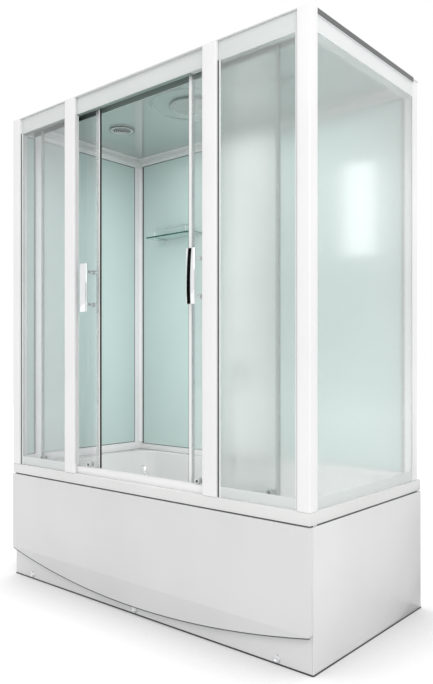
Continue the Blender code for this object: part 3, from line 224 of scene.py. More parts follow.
@dataclass(frozen=True)
class Finish:
    """A surface finish with its colour, gloss and grain.

    Each grain is worked out in the piece's own space, so it stays put when the piece moves.
    """

    name: str
    slot: str
    colour: Colour
    roughness: float
    grain: Grain = Grain.MOULDED
    metallic: float = 0.0
    specular: float = 0.5
    coat: float = 0.0
    coat_roughness: float = 0.03
    colour_spread: float = 0.03
    roughness_spread: float = 0.04
    relief: float = 0.00002

    def uniform(self) -> dict[str, float]:
        """Give the values that are the same all over.

        Returns:
            Each value, by the shader's input that takes it.
        """
        return {
            "Metallic": self.metallic,
            "Specular IOR Level": self.specular,
            "Coat Weight": self.coat,
            "Coat Roughness": self.coat_roughness,
        }

    def material(self) -> bpy.types.Material:
        """Make the finish as a material, or return it if it was made before.

        Returns:
            The material, with its nodes.
        """
        if self.name in MADE:
            return MADE[self.name]
        made = MADE[self.name] = bpy.data.materials.new(self.name)
        made.use_nodes = True
        graph = Graph(made.node_tree)
        inputs = made.node_tree.nodes["Principled BSDF"].inputs
        for name, value in self.uniform().items():
            inputs[name].default_value = value
        own = graph.add("TexCoord").outputs["Object"]
        graph.feed(inputs["Base Color"], self.paint(graph, own))
        fine = graph.noise(own, self.grain.value, FINE_DETAIL)
        low = max(0.0, self.roughness - self.roughness_spread)
        high = self.roughness + self.roughness_spread
        graph.feed(inputs["Roughness"], graph.ranged(fine, NOISE_RANGE, (low, high)))
        if self.relief:
            bump = graph.add("Bump", Strength=1.0, Distance=self.relief, Height=fine)
            graph.feed(inputs["Normal"], bump.outputs["Normal"])
        return made

    def paint(self, graph: Graph, own: Socket) -> Socket:
        """Make the slightly uneven colour.

        Args:
            graph: The material's nodes.
            own: The piece's own space.

        Returns:
            The colour.
        """
        ramp = graph.add("ValToRGB", Fac=graph.noise(own, BROAD_REPEATS, BROAD_DETAIL))
        ends = (1 - self.colour_spread, 1 + self.colour_spread)
        for stop, place, share in zip(ramp.color_ramp.elements, NOISE_RANGE, ends):
            stop.position = place
            stop.color = (*(min(1.0, part * share) for part in self.colour), 1)
        return ramp.outputs["Color"]


@dataclass(frozen=True)
class PaneFinish(Finish):
    """Toughened glass. Its cut edges are darker and greener than its faces."""

    transmission: float = 1.0
    index: float = 1.47
    edge: Colour = (0.18, 0.42, 0.34)
    edge_turn: Pair = (0.35, 0.85)
    thin: Axis = Axis.Y

    def uniform(self) -> dict[str, float]:
        """Return the values that are the same all over, with those of glass."""
        return super().uniform() | {"Transmission Weight": self.transmission, "IOR": self.index}

    def paint(self, graph: Graph, own: Socket) -> Socket:
        """Colour the faces, and the edges by the way they face.

        Args:
            graph: The material's nodes.
            own: The piece's own space.

        Returns:
            The colour.
        """
        facing = graph.part(graph.add("NewGeometry").outputs["Normal"], self.thin)
        share = graph.ranged(graph.math("ABSOLUTE", facing), self.edge_turn)
        return graph.mixed(share, (*self.edge, 1), super().paint(graph, own))


@dataclass(frozen=True)
class ShadeZoneFinish(Finish):
    """A finish with one zone darkened by painted shade, within limits in the piece's own space."""

    painted_shade_colour: Colour = (0.26, 0.32, 0.30)
    limits: tuple[tuple[Axis, float, float], ...] = ()

    def paint(self, graph: Graph, own: Socket) -> Socket:
        """Colour the piece, and then paint the zone of shade.

        Args:
            graph: The material's nodes.
            own: The piece's own space.

        Returns:
            The colour.
        """
        within = None
        for axis, low, high in self.limits:
            place = graph.part(own, axis)
            for operation, limit in (("GREATER_THAN", low), ("LESS_THAN", high)):
                test = graph.math(operation, place, limit)
                within = test if within is None else graph.math("MULTIPLY", within, test)
        return graph.mixed(within, super().paint(graph, own), (*self.painted_shade_colour, 1))


ACRYLIC = Finish(
    "cast_acrylic", "white_acrylic", (0.78, 0.78, 0.775), 0.20, coat=0.2, relief=0.00003
)
# The front skirt is a darker copy and the side panels a lighter copy of one acrylic: painted shade
# in front, painted light on the side.
SKIRT = replace(ACRYLIC, name="skirt_acrylic", colour=(0.72, 0.72, 0.72), roughness=0.22)
SIDE_SKIRT = replace(SKIRT, name="side_skirt_acrylic", colour=(0.785, 0.785, 0.785))
# The column is a lighter copy of the white acrylic: painted light.
COLUMN_ACRYLIC = replace(ACRYLIC, name="column_acrylic", colour=(0.93, 0.935, 0.93), relief=0.0)
# The cove is a darker grey-green copy of the white acrylic: painted shade under the roof.
COVE_ACRYLIC = replace(
    COLUMN_ACRYLIC, name="cove_acrylic", colour=(0.70, 0.72, 0.715), coat=0.3
)
# The roof's faces below its top edge take a dark grey-green zone: painted shade on the ceiling's
# underside.
CEILING_ACRYLIC = ShadeZoneFinish(
    "ceiling_acrylic", "white_acrylic", (0.78, 0.79, 0.785), 0.16, coat=1.0, relief=0.0,
    painted_shade_colour=(0.38, 0.455, 0.435), limits=((Axis.Z, 2.0, 2.1735),),
)
COATED = Finish(
    "white_coated_metal", "white_metal", (0.91, 0.90, 0.905), 0.34, Grain.COATED, relief=0.00001
)
# The headers are a darker copy of the posts' white coat: painted shade. The front track is darker
# still, and its channel left of x 0.30 takes a painted shade zone.
HEADER_COATED = replace(COATED, name="white_coated_header", colour=(0.84, 0.865, 0.86))
TRACK = ShadeZoneFinish(
    "white_coated_track", "white_metal", (0.71, 0.74, 0.73), 0.34, Grain.COATED, relief=0.00001,
    limits=((Axis.Y, -0.4020, -0.3376), (Axis.X, -0.84, 0.30)),
)
WHITE_PLASTIC = Finish("moulded_white", "white_plastic", (0.90, 0.91, 0.905), 0.38)
# The vent, the lamp and the rain shower are white plastic given a dark grey-green: painted shade
# under the ceiling.
VENT_PLASTIC = Finish("vent_plastic", "white_plastic", (0.50, 0.55, 0.535), 0.30, relief=0.0)
RAIN_PLASTIC = replace(VENT_PLASTIC, name="rain_shower_plastic", colour=(0.42, 0.48, 0.465))
ROLLER_PLASTIC = Finish("moulded_roller", "black_plastic", (0.74, 0.78, 0.77), 0.35)
BLACK_PLASTIC = Finish(
    "moulded_black", "black_plastic", (0.022, 0.022, 0.023), 0.42, Grain.RUBBERY
)
RUBBER = Finish(
    "dark_rubber", "black_plastic", (0.10, 0.115, 0.115), 0.55, Grain.RUBBERY, specular=0.35,
    colour_spread=0.12,
)
CAP_GREY = Finish(
    "dark_grey_strip", "black_plastic", (0.13, 0.135, 0.135), 0.42, Grain.COATED,
    colour_spread=0.10,
)
CHROME = Finish(
    "polished_chrome", "chrome", (0.82, 0.83, 0.84), 0.06, Grain.SPUN, metallic=1.0,
    roughness_spread=0.02, relief=0.0,
)
SATIN_CHROME = replace(
    CHROME, name="satin_chrome", colour=(0.90, 0.91, 0.92), roughness=0.22, roughness_spread=0.03
)
ZINC = Finish(
    "plated_steel", "zinc_steel", (0.55, 0.56, 0.57), 0.36, Grain.SPUN, metallic=1.0,
    colour_spread=0.12,
)
AQUA = Finish(
    "aqua_wall_glass", "aqua_glass", (0.59, 0.72, 0.695), 0.45, coat=1.0, coat_roughness=0.02,
    colour_spread=0.02, relief=0.0,
)
SHELF_EDGE = Finish(
    "polished_glass_edge", "clear_glass", (0.0, 0.075, 0.06), 0.30, specular=0.2, relief=0.0
)
# The left door's glass is a darker copy of the right door's clear glass: painted shade.
CLEAR_LEFT = PaneFinish(
    "clear_glass_left", "clear_glass", (0.83, 0.83, 0.835), 0.0, Grain.FROSTED,
    roughness_spread=0.0, relief=0.0, colour_spread=0.01,
)
CLEAR_RIGHT = replace(
    CLEAR_LEFT, name="clear_glass_right", colour=(0.965, 0.985, 0.98), transmission=0.90
)
SHELF = replace(
    CLEAR_LEFT, name="green_shelf_glass", colour=(0.80, 0.95, 0.90), transmission=0.75,
    edge=(0.0, 0.10, 0.075), thin=Axis.Z,
)
FROSTED_LEFT = PaneFinish(
    "frosted_glass_left", "frosted_glass", (0.93, 0.945, 0.945), 0.10, Grain.FROSTED,
    transmission=0.94, roughness_spread=0.01, relief=0.0, colour_spread=0.01,
    edge=(0.45, 0.66, 0.60),
)
FROSTED_FRONT = replace(
    FROSTED_LEFT, name="frosted_glass_front", colour=(0.955, 0.985, 0.975), roughness=0.22,
    transmission=0.93,
)
FROSTED_SIDE = replace(
    FROSTED_LEFT, name="frosted_glass_side", colour=(0.95, 0.985, 0.975), roughness=0.16,
    transmission=0.95, coat=0.75, coat_roughness=0.095, thin=Axis.X,
)
# The foot strip is real silicone; its pale, mostly opaque colour is also painted light over the
# shaded foot of each pane.
FOOT_SILICONE = PaneFinish(
    "foot_silicone", "clear_glass", (0.92, 0.965, 0.955), 0.35, transmission=0.30, relief=0.0,
    edge=(0.92, 0.965, 0.955),
)
CLEAR_PLASTIC = PaneFinish(
    "clear_plastic", "clear_glass", (0.95, 0.97, 0.97), 0.12, transmission=0.8, relief=0.0,
    edge=(0.80, 0.88, 0.86),
)


# Outlines


def half_round(low: float, high: float, base: float, proud: float, steps: int = 6) -> Outline:
    """Return the outline of a half-round bead.

    Args:
        low: Its low side.
        high: Its high side.
        base: The face that it stands on, in the other direction.
        proud: How far it stands out from that face, with its sign.
        steps: How many facets its crown has.

    Returns:
        The outline's points.
    """
    middle, half, fullness = (low + high) / 2, (high - low) / 2, 0.6
    crown = [
        (middle - half * cos(pi * step / steps), base + proud * sin(pi * step / steps) ** fullness)
        for step in range(1, steps)
    ]
    return [(low, base), *crown, (high, base)]


def oblong(low: Pair, high: Pair) -> Outline:
    """Return the outline of a rectangle between two corners."""
    return [low, (high[0], low[1]), high, (low[0], high[1])]


def swapped(outline: Outline) -> Outline:
    """Return an outline with its two directions swapped."""
    return [(second, first) for first, second in outline]


def scaled(outline: Outline, across: float, along: float) -> Outline:
    """Return an outline with each of its directions scaled."""
    return [(first * across, second * along) for first, second in outline]


def moved(outline: Outline, across: float, along: float, flip: int = 1) -> Outline:
    """Return an outline set at a place, and flipped left to right where flip is -1."""
    return [(across + flip * first, along + second) for first, second in outline]


def outward(outline: Outline, side: int, face: float) -> Outline:
    """Return an outline measured outwards from a face, on the low side where side is -1."""
    return [(side * (face + first), second) for first, second in outline]


# Mesh making


def drawn(shape: Shape, outline: Outline, along: Axis, start: float, end: float) -> None:
    """Add a closed outline drawn out along an axis.

    Args:
        shape: The mesh that it is added to.
        outline: Points in the two other axes, in the order X, Y, Z.
        along: The axis that it is drawn along.
        start: Where it starts on that axis.
        end: Where it ends.
    """
    rings = []
    for place in (start, end):
        ring = []
        for pair in outline:
            point = list(pair)
            point.insert(along.value, place)
            ring.append(shape.verts.new(point))
        shape.faces.new(ring)
        rings.append(ring)
    joined(shape, *rings)


def joined(shape: Shape, one: list[bmesh.types.BMVert], other: list[bmesh.types.BMVert]) -> None:
    """Add the faces between two rings of corners. A ring of one corner is a tip.

    Args:
        shape: The mesh that they are added to.
        one: The first ring.
        other: The second ring.
    """
    steps = max(len(one), len(other))
    for step in range(steps):
        after = (step + 1) % steps
        corners = (
            one[step % len(one)], one[after % len(one)],
            other[after % len(other)], other[step % len(other)],
        )
        shape.faces.new(list(dict.fromkeys(corners)))


def lathed(
    shape: Shape, profile: Outline, place: Point, towards: Vector, steps: int = 32,
    closed: bool = False,
) -> None:
    """Add a turned shape.

    Args:
        shape: The mesh that it is added to.
        profile: Radius and height of each point, from one end to the other.
        place: Where its axis starts.
        towards: The direction of its axis.
        steps: How many facets go round.
        closed: Whether the profile's end joins its start, as on a ring.
    """
    turn = towards.to_track_quat("Z", "Y").to_matrix().to_4x4()
    turn.translation = Vector(place)
    rings = []
    for radius, height in profile:
        angles = [tau * step / steps for step in range(steps if radius else 1)]
        around = [Vector((radius * cos(angle), radius * sin(angle), height)) for angle in angles]
        rings.append([shape.verts.new(turn @ point) for point in around])
    pairs = list(zip(rings, rings[1:]))
    if closed:
        pairs.append((rings[-1], rings[0]))
    for one, other in pairs:
        joined(shape, one, other)


def rim_run(shape: Shape, profile: Outline, low: Pair, high: Pair) -> None:
    """Add a profile that runs round the inside of a rectangle, mitred at its corners.

    Args:
        shape: The mesh that it is added to.
        profile: Distance inwards from the rectangle, and height, of each point.
        low: The rectangle's low corner, in X and Y.
        high: The rectangle's high corner.
    """
    rings = []
    for inward, height in profile:
        inner = (low[0] + inward, low[1] + inward), (high[0] - inward, high[1] - inward)
        rings.append([shape.verts.new((*corner, height)) for corner in oblong(*inner)])
    for one, other in zip(rings, rings[1:] + rings[:1]):
        joined(shape, one, other)


def placed(name: str, shape: Shape, material: bpy.types.Material) -> bpy.types.Object:
    """Turn a built mesh into an object in the scene.

    Args:
        name: Its name.
        shape: The built mesh, which is freed.
        material: Its material.

    Returns:
        The object.
    """
    data = bpy.data.meshes.new(name)
    shape.to_mesh(data)
    shape.free()
    data.materials.append(material)
    made = bpy.data.objects.new(name, data)
    bpy.context.scene.collection.objects.link(made)
    return made


def show(
    name: str, shape: Shape, finish: Finish, body: str = Body.CABIN.value, smooth: float = 35.0
) -> bpy.types.Object:
    """Turn a built mesh into a piece that rides on a body.

    Args:
        name: The piece's name.
        shape: The built mesh, which is freed.
        finish: Its finish.
        body: The body that it rides on.
        smooth: Edges that turn more than this, in degrees, stay sharp.

    Returns:
        The piece.
    """
    bmesh.ops.recalc_face_normals(shape, faces=shape.faces)
    made = placed(name, shape, finish.material())
    made.data.shade_smooth()
    made.data.set_sharp_from_angle(angle=radians(smooth))
    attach(made, body)
    log.info("piece %s rides on %s", name, body)
    return made


def dress(name: str, finish: Finish, rounding: float = 0.0, smooth: float = 32.0) -> None:
    """Give a piece of the frame its finish, soft edges and smooth shading.

    Args:
        name: The piece of the frame.
        finish: Its finish.
        rounding: The width of its softened edges.
        smooth: Edges that turn more than this, in degrees, stay sharp.
    """
    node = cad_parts[name]
    node.data.materials.clear()
    node.data.materials.append(finish.material())
    node.data.shade_smooth()
    weld = node.modifiers.new("weld", "WELD")
    weld.merge_threshold = WELD_GAP
    if rounding:
        bevel = node.modifiers.new("soft_edges", "BEVEL")
        bevel.width = rounding
        bevel.segments = SOFT_SEGMENTS
        bevel.limit_method = "ANGLE"
        bevel.angle_limit = radians(SOFT_ABOVE)
        bevel.harden_normals = False
    split = node.modifiers.new("sharp_edges", "EDGE_SPLIT")
    split.split_angle = radians(smooth)
    log.info("dressed %s in %s", name, finish.name)


def centre(name: str) -> Vector:
    """Return the middle of a piece of the frame."""
    low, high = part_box(name)
    return (low + high) / 2


# Sub-assemblies


@dataclass
class Bath:
    """The bath, its skirt panels, frame, feet and waste."""

    rounding: float = 0.0012
    cap_places: tuple[float, ...] = (-0.715, -0.005, 0.705)
    cap_height: float = 0.0195
    cap_radius: float = 0.0140
    cap_thickness: float = 0.0075
    cap: Outline = (
        (0, 0), (1, 0), (1, 0.35), (0.90, 0.62), (0.74, 0.70), (0.70, 1), (0.55, 1.05),
        (0.40, 0.72), (0, 0.55),
    )
    apron_rounding: float = 0.0006
    lip_search: float = 0.00015
    lip_inset: float = 0.002
    lip_gap: float = 0.0003
    lip_hang: float = 0.0042
    lip_front: float = 0.0010
    lip_depth: float = 0.0040
    front_floor_shade: Outline = (
        (0.0003, 0.0002), (0.0003, 0.0046), (0.0009, 0.0046), (0.0025, 0.0014), (0.0025, 0.0002)
    )
    side_floor_shade: Outline = (
        (0.0003, 0.0002), (0.0003, 0.0046), (0.0008, 0.0046), (0.0020, 0.0014), (0.0020, 0.0002)
    )
    floor_shade_inset: float = 0.001
    shade_rise: float = 0.0060
    front_shade: Pair = (0.0085, 0.0125)
    front_shade_inset: float = 0.012
    side_shade: Pair = (0.0046, 0.0080)
    side_shade_inset: Pair = (0.001, 0.006)

    def build(self) -> None:
        """Make the pieces that the frame leaves out."""
        for index, across in enumerate(self.cap_places):
            self.plinth_cap(f"plinth_cap_{index + 1}", across)
        self.apron_shade_strip()
        self.floor_shade_strips()
        self.rim_shade_strips()

    def apron_shade_strip(self) -> None:
        """Make the dark strip along the apron's arched lower edge: painted shade under the edge.
        """
        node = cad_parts["front_apron"]
        low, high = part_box("front_apron")
        edge = low.y + self.apron_rounding
        lowest: dict[float, float] = {}
        for corner in node.data.vertices:
            place = node.matrix_world @ corner.co
            if place.z < (low.z + high.z) / 2 and abs(place.y - edge) < self.lip_search:
                key = round(place.x, 3)
                lowest[key] = min(lowest.get(key, place.z), place.z)
        line = [pair for pair in sorted(lowest.items()) if abs(pair[0]) < high.x - self.lip_inset]
        outline = moved(line, 0, -self.lip_gap) + moved(line[::-1], 0, -self.lip_hang)
        shape = bmesh.new()
        front = low.y + self.lip_front
        drawn(shape, outline, Axis.Y, front, front + self.lip_depth)
        show("apron_shade_strip", shape, RUBBER)

    def floor_shade_strips(self) -> None:
        """Make the black strips between the skirt and the floor: painted contact shadow."""
        face = -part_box("front_plinth")[0].y
        low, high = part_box("side_panel_right")
        end = high.x - self.floor_shade_inset
        shape = bmesh.new()
        drawn(shape, outward(self.front_floor_shade, -1, face), Axis.X, -end, end)
        for side, _ in SIDES:
            drawn(shape, outward(self.side_floor_shade, side, high.x), Axis.Y, low.y, high.y)
        show("floor_shade_strips", shape, BLACK_PLASTIC)

    def rim_shade_strips(self) -> None:
        """Make the dark strips that fill the shadow gap between the rim and the skirt: painted
        shade in the gap.
        """
        low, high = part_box("front_apron")
        side_low, side_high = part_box("side_panel_right")
        top = high.z + self.shade_rise
        front, back = self.front_shade
        outline = oblong((low.y + front, high.z + SEAT), (low.y + back, top))
        inset = self.front_shade_inset
        shape = bmesh.new()
        drawn(shape, outline, Axis.X, low.x + inset, high.x - inset)
        outer, inner = self.side_shade
        start, end = side_low.y + self.side_shade_inset[0], side_high.y - self.side_shade_inset[1]
        section = oblong((-outer, high.z - self.shade_rise), (-inner, top))
        for side, _ in SIDES:
            drawn(shape, outward(section, side, side_high.x), Axis.Y, start, end)
        show("rim_shade_strips", shape, RUBBER)

    def plinth_cap(self, name: str, across: float) -> None:
        """Make one round cap on the plinth: a stepped disc with a dished middle.

        Args:
            name: Its name.
            across: Where it sits along the front.
        """
        shape = bmesh.new()
        place = (across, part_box("front_plinth")[0].y, self.cap_height)
        lathed(shape, scaled(self.cap, self.cap_radius, self.cap_thickness), place, TO_FRONT)
        show(name, shape, CHROME)

    def dress(self) -> None:
        """Give the frame's pieces of the bath their finishes."""
        dress("bath_tub", ACRYLIC, smooth=40)
        for name in ("front_apron", "front_plinth", "side_panel_left", "side_panel_right"):
            dress(name, SIDE_SKIRT if "side" in name else SKIRT, self.rounding)
        dress("base_frame", ZINC, self.rounding)
        for row in ("front", "back"):
            for place in ("left", "middle", "right"):
                dress(f"foot_{row}_{place}", BLACK_PLASTIC)
        for name in ("bath_waste", "waste_plug", "overflow_knob"):
            dress(name, CHROME)


@dataclass
class CabinFrame:
    """Posts, headers and sills, with the dark roof strips and the screws behind."""

    rounding: float = 0.0008
    strip: Outline = (
        (0.0003, 2.1822), (0.0025, 2.1822), (0.0033, 2.1832), (0.0033, 2.1992), (0.0023, 2.2004),
        (0.0003, 2.2004),
    )
    strip_short: float = 0.0110
    screw_heights: tuple[float, ...] = (0.62, 1.00, 1.37, 1.74, 2.08)
    screw_radius: float = 0.0042
    screw: Outline = (
        (0, 0), (1, 0), (0.92, 0.30), (0.62, 0.52), (0.30, 0.56), (0.24, 0.22), (0, 0.18)
    )

    def build(self) -> None:
        """Make the roof strips and the screws."""
        for side, word in SIDES:
            self.roof_strip(side, word)
            self.screws(word)

    def roof_strip(self, side: int, word: str) -> None:
        """Make the dark strip over one side header.

        Args:
            side: -1 on the left, 1 on the right.
            word: The side's name.
        """
        low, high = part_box(f"header_{word}")
        face = high.x if side > 0 else -low.x
        shape = bmesh.new()
        outline = outward(self.strip, side, face)
        drawn(shape, outline, Axis.Y, low.y, high.y - self.strip_short)
        show(f"roof_strip_{word}", shape, CAP_GREY)

    def screws(self, word: str) -> None:
        """Make the pan-head screws up the back of one rear post.

        Args:
            word: The side's name.
        """
        post = f"back_{word}_post"
        profile = scaled(self.screw, self.screw_radius, self.screw_radius)
        shape = bmesh.new()
        for height in self.screw_heights:
            place = (centre(post).x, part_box(post)[1].y, height)
            lathed(shape, profile, place, TO_BACK, steps=16)
        show(f"post_screws_{word}", shape, ZINC)

    def dress(self) -> None:
        """Give posts, headers and sills their coated finish, the headers in darker copies of it as
        painted shade.
        """
        for corner in ("front_left", "front_right", "back_left", "back_right"):
            dress(f"{corner}_post", COATED)
        for _, word in SIDES:
            dress(f"door_post_{word}", COATED)
        for side in ("front", "left", "right", "back"):
            dress(f"header_{side}", TRACK if side == "front" else HEADER_COATED, self.rounding)
            dress(f"sill_{side}", COATED, self.rounding)


@dataclass
class FixedGlazing:
    """The two front panes and the right side pane, with their gaskets, beads and silicone."""

    gasket_width: float = 0.0052
    gasket_proud: float = 0.0042
    gasket: Outline = ((0, 0), (0, -1), (0.45, -1), (1, -0.45), (1, 0))
    bead_width: float = 0.0062
    bead_proud: float = 0.0032
    foot_height: float = 0.0390
    foot_proud: float = 0.0006

    def build(self) -> None:
        """Make the gaskets, beads and silicone strips of each pane."""
        for _, word in SIDES:
            self.front_trims(word)
        self.side_trims()

    def front_trims(self, word: str) -> None:
        """Make what holds one front pane: gaskets and beads at its uprights, silicone at its foot.

        Args:
            word: The side's name.
        """
        low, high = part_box(f"front_glass_{word}")
        face = low.y - SEAT
        inset = self.gasket_width + self.bead_width
        gasket = scaled(self.gasket, self.gasket_width, self.gasket_proud)
        bead = half_round(self.gasket_width, inset, 0, -self.bead_proud)
        dark, light, clear = bmesh.new(), bmesh.new(), bmesh.new()
        for edge, flip in ((low.x, 1), (high.x, -1)):
            drawn(dark, moved(gasket, edge, face, flip), Axis.Z, low.z, high.z)
            drawn(light, moved(bead, edge, face, flip), Axis.Z, low.z, high.z)
        foot = half_round(low.z, low.z + self.foot_height, face, -self.foot_proud)
        drawn(clear, swapped(foot), Axis.X, low.x + inset, high.x - inset)
        show(f"front_gaskets_{word}", dark, RUBBER)
        show(f"front_beads_{word}", light, WHITE_PLASTIC)
        show(f"front_silicone_{word}", clear, FOOT_SILICONE)

    def side_trims(self) -> None:
        """Make the white beads and the silicone strip of the right side pane."""
        low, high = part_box("side_glass_right")
        face, width = high.x + SEAT, self.bead_width
        light, clear = bmesh.new(), bmesh.new()
        for start, end in ((low.y, low.y + width), (high.y - width, high.y)):
            bead = half_round(start, end, face, self.bead_proud)
            drawn(light, swapped(bead), Axis.Z, low.z, high.z)
        foot = half_round(low.z, low.z + self.foot_height, face, self.foot_proud)
        drawn(clear, swapped(foot), Axis.Y, low.y + width, high.y - width)
        show("side_beads_right", light, WHITE_PLASTIC)
        show("side_silicone_right", clear, FOOT_SILICONE)

    def dress(self) -> None:
        """Give the panes their frosted finish."""
        dress("front_glass_left", FROSTED_LEFT)
        dress("front_glass_right", FROSTED_FRONT)
        dress("side_glass_right", FROSTED_SIDE)


@dataclass
class InnerWalls:
    """The aqua wall panels, with the dark seals round them and two white cover profiles."""

    seal_width: float = 0.0034
    seal_proud: float = 0.0014
    seal_facets: int = 4
    edge_width: float = 0.0105
    cover_seals: Pair = (0.0062, 0.0017)
    front_cover: Pair = (-0.3262, -0.2830)
    corner_side: float = 0.0357
    corner_back: float = 0.0107
    corner_wall: float = 0.0042
    corner_thin: float = 0.00252
    corner_chamfer: Pair = (0.0012, 0.0015)
    gap: float = 0.0003
    cover: Outline = (
        (0, -0.3260), (0.0021, -0.3260), (0.00336, -0.3246), (0.00336, -0.2922),
        (0.00168, -0.2910), (0.00168, -0.2892), (0.00336, -0.2880), (0.00336, -0.2846),
        (0.0021, -0.2832), (0, -0.2832),
    )

    def build(self) -> None:
        """Make the seals of the left wall and of the two halves of the back wall."""
        self.left_seal()
        for _, word in SIDES:
            self.back_seal(word)
        self.corner_cover()
        self.wall_cover()

    def frame_of(
        self, shape: Shape, low: Pair, high: Pair, widths: Pair, face: float, proud: float,
        along: Axis,
    ) -> None:
        """Add four seal strips round a panel.

        Args:
            shape: The mesh that they are added to.
            low: The panel's low corner: its place along the wall, and its height.
            high: The panel's high corner.
            widths: The width of the strips at the low and the high end of the wall.
            face: The panel's face.
            proud: How far the strips stand out, with the sign of the direction.
            along: The direction that the wall runs in.
        """
        narrow, facets = self.seal_width, self.seal_facets
        first, last = low[0] + widths[0], high[0] - widths[1]
        for start, end in ((low[0], first), (last, high[0])):
            strip = half_round(start, end, face, proud, facets)
            drawn(shape, strip if along is Axis.X else swapped(strip), Axis.Z, low[1], high[1])
        for start, end in ((low[1], low[1] + narrow), (high[1] - narrow, high[1])):
            strip = half_round(start, end, face, proud, facets)
            drawn(shape, swapped(strip), along, first, last)

    def left_seal(self) -> None:
        """Make the seal round the left wall's panel."""
        low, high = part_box("side_glass_left")
        start, stop = self.front_cover
        narrow, (before, behind) = self.seal_width, self.cover_seals
        shape = bmesh.new()
        for first, last, widths in (
            (low.y, start, (narrow, before)),
            (stop, high.y - self.corner_side, (behind, narrow)),
        ):
            corners = (first, low.z), (last, high.z)
            self.frame_of(shape, *corners, widths, high.x, self.seal_proud, Axis.Y)
        show("wall_seal_side", shape, RUBBER)

    def back_seal(self, word: str) -> None:
        """Make the seal round one half of the back wall.

        Args:
            word: Which half.
        """
        low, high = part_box(f"back_glass_{word}")
        widths, start = (self.seal_width, self.edge_width), low.x
        if word == "left":
            widths, start = widths[::-1], low.x + self.corner_back
        shape = bmesh.new()
        corners = (start, low.z), (high.x, high.z)
        self.frame_of(shape, *corners, widths, low.y, -self.seal_proud, Axis.X)
        show(f"wall_seal_back_{word}", shape, RUBBER)

    def wall_cover(self) -> None:
        """Make the flat white cover profile that stands behind the door track on the left wall."""
        low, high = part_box("side_glass_left")
        shape = bmesh.new()
        drawn(shape, outward(self.cover, 1, high.x + self.gap), Axis.Z, low.z, high.z)
        show("wall_cover", shape, COATED)

    def corner_cover(self) -> None:
        """Make the white cover profile in the corner where the left wall meets the back wall."""
        side_low, side_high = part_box("side_glass_left")
        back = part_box("back_glass_left")[0]
        gap, wall, thin = self.gap, self.corner_wall, self.corner_thin
        cut, bevel = self.corner_chamfer
        left, front, rear = side_high.x + gap, side_high.y - self.corner_side, back.y - gap
        inner, right = back.x + gap, back.x + self.corner_back
        outline = [
            (left, front),
            (left + thin, front),
            (left + wall, front + bevel),
            (left + wall, side_high.y - wall),
            (inner + thin, rear - wall),
            (right - cut, rear - wall),
            (right, rear - thin),
            (right, rear),
            (inner, rear),
            (inner, side_high.y - gap),
            (left, side_high.y - gap),
        ]
        shape = bmesh.new()
        drawn(shape, outline, Axis.Z, side_low.z, side_high.z)
        show("corner_cover", shape, COATED)

    def dress(self) -> None:
        """Give the panels their aqua finish."""
        for name in ("side_glass_left", "back_glass_left", "back_glass_right"):
            dress(name, AQUA)


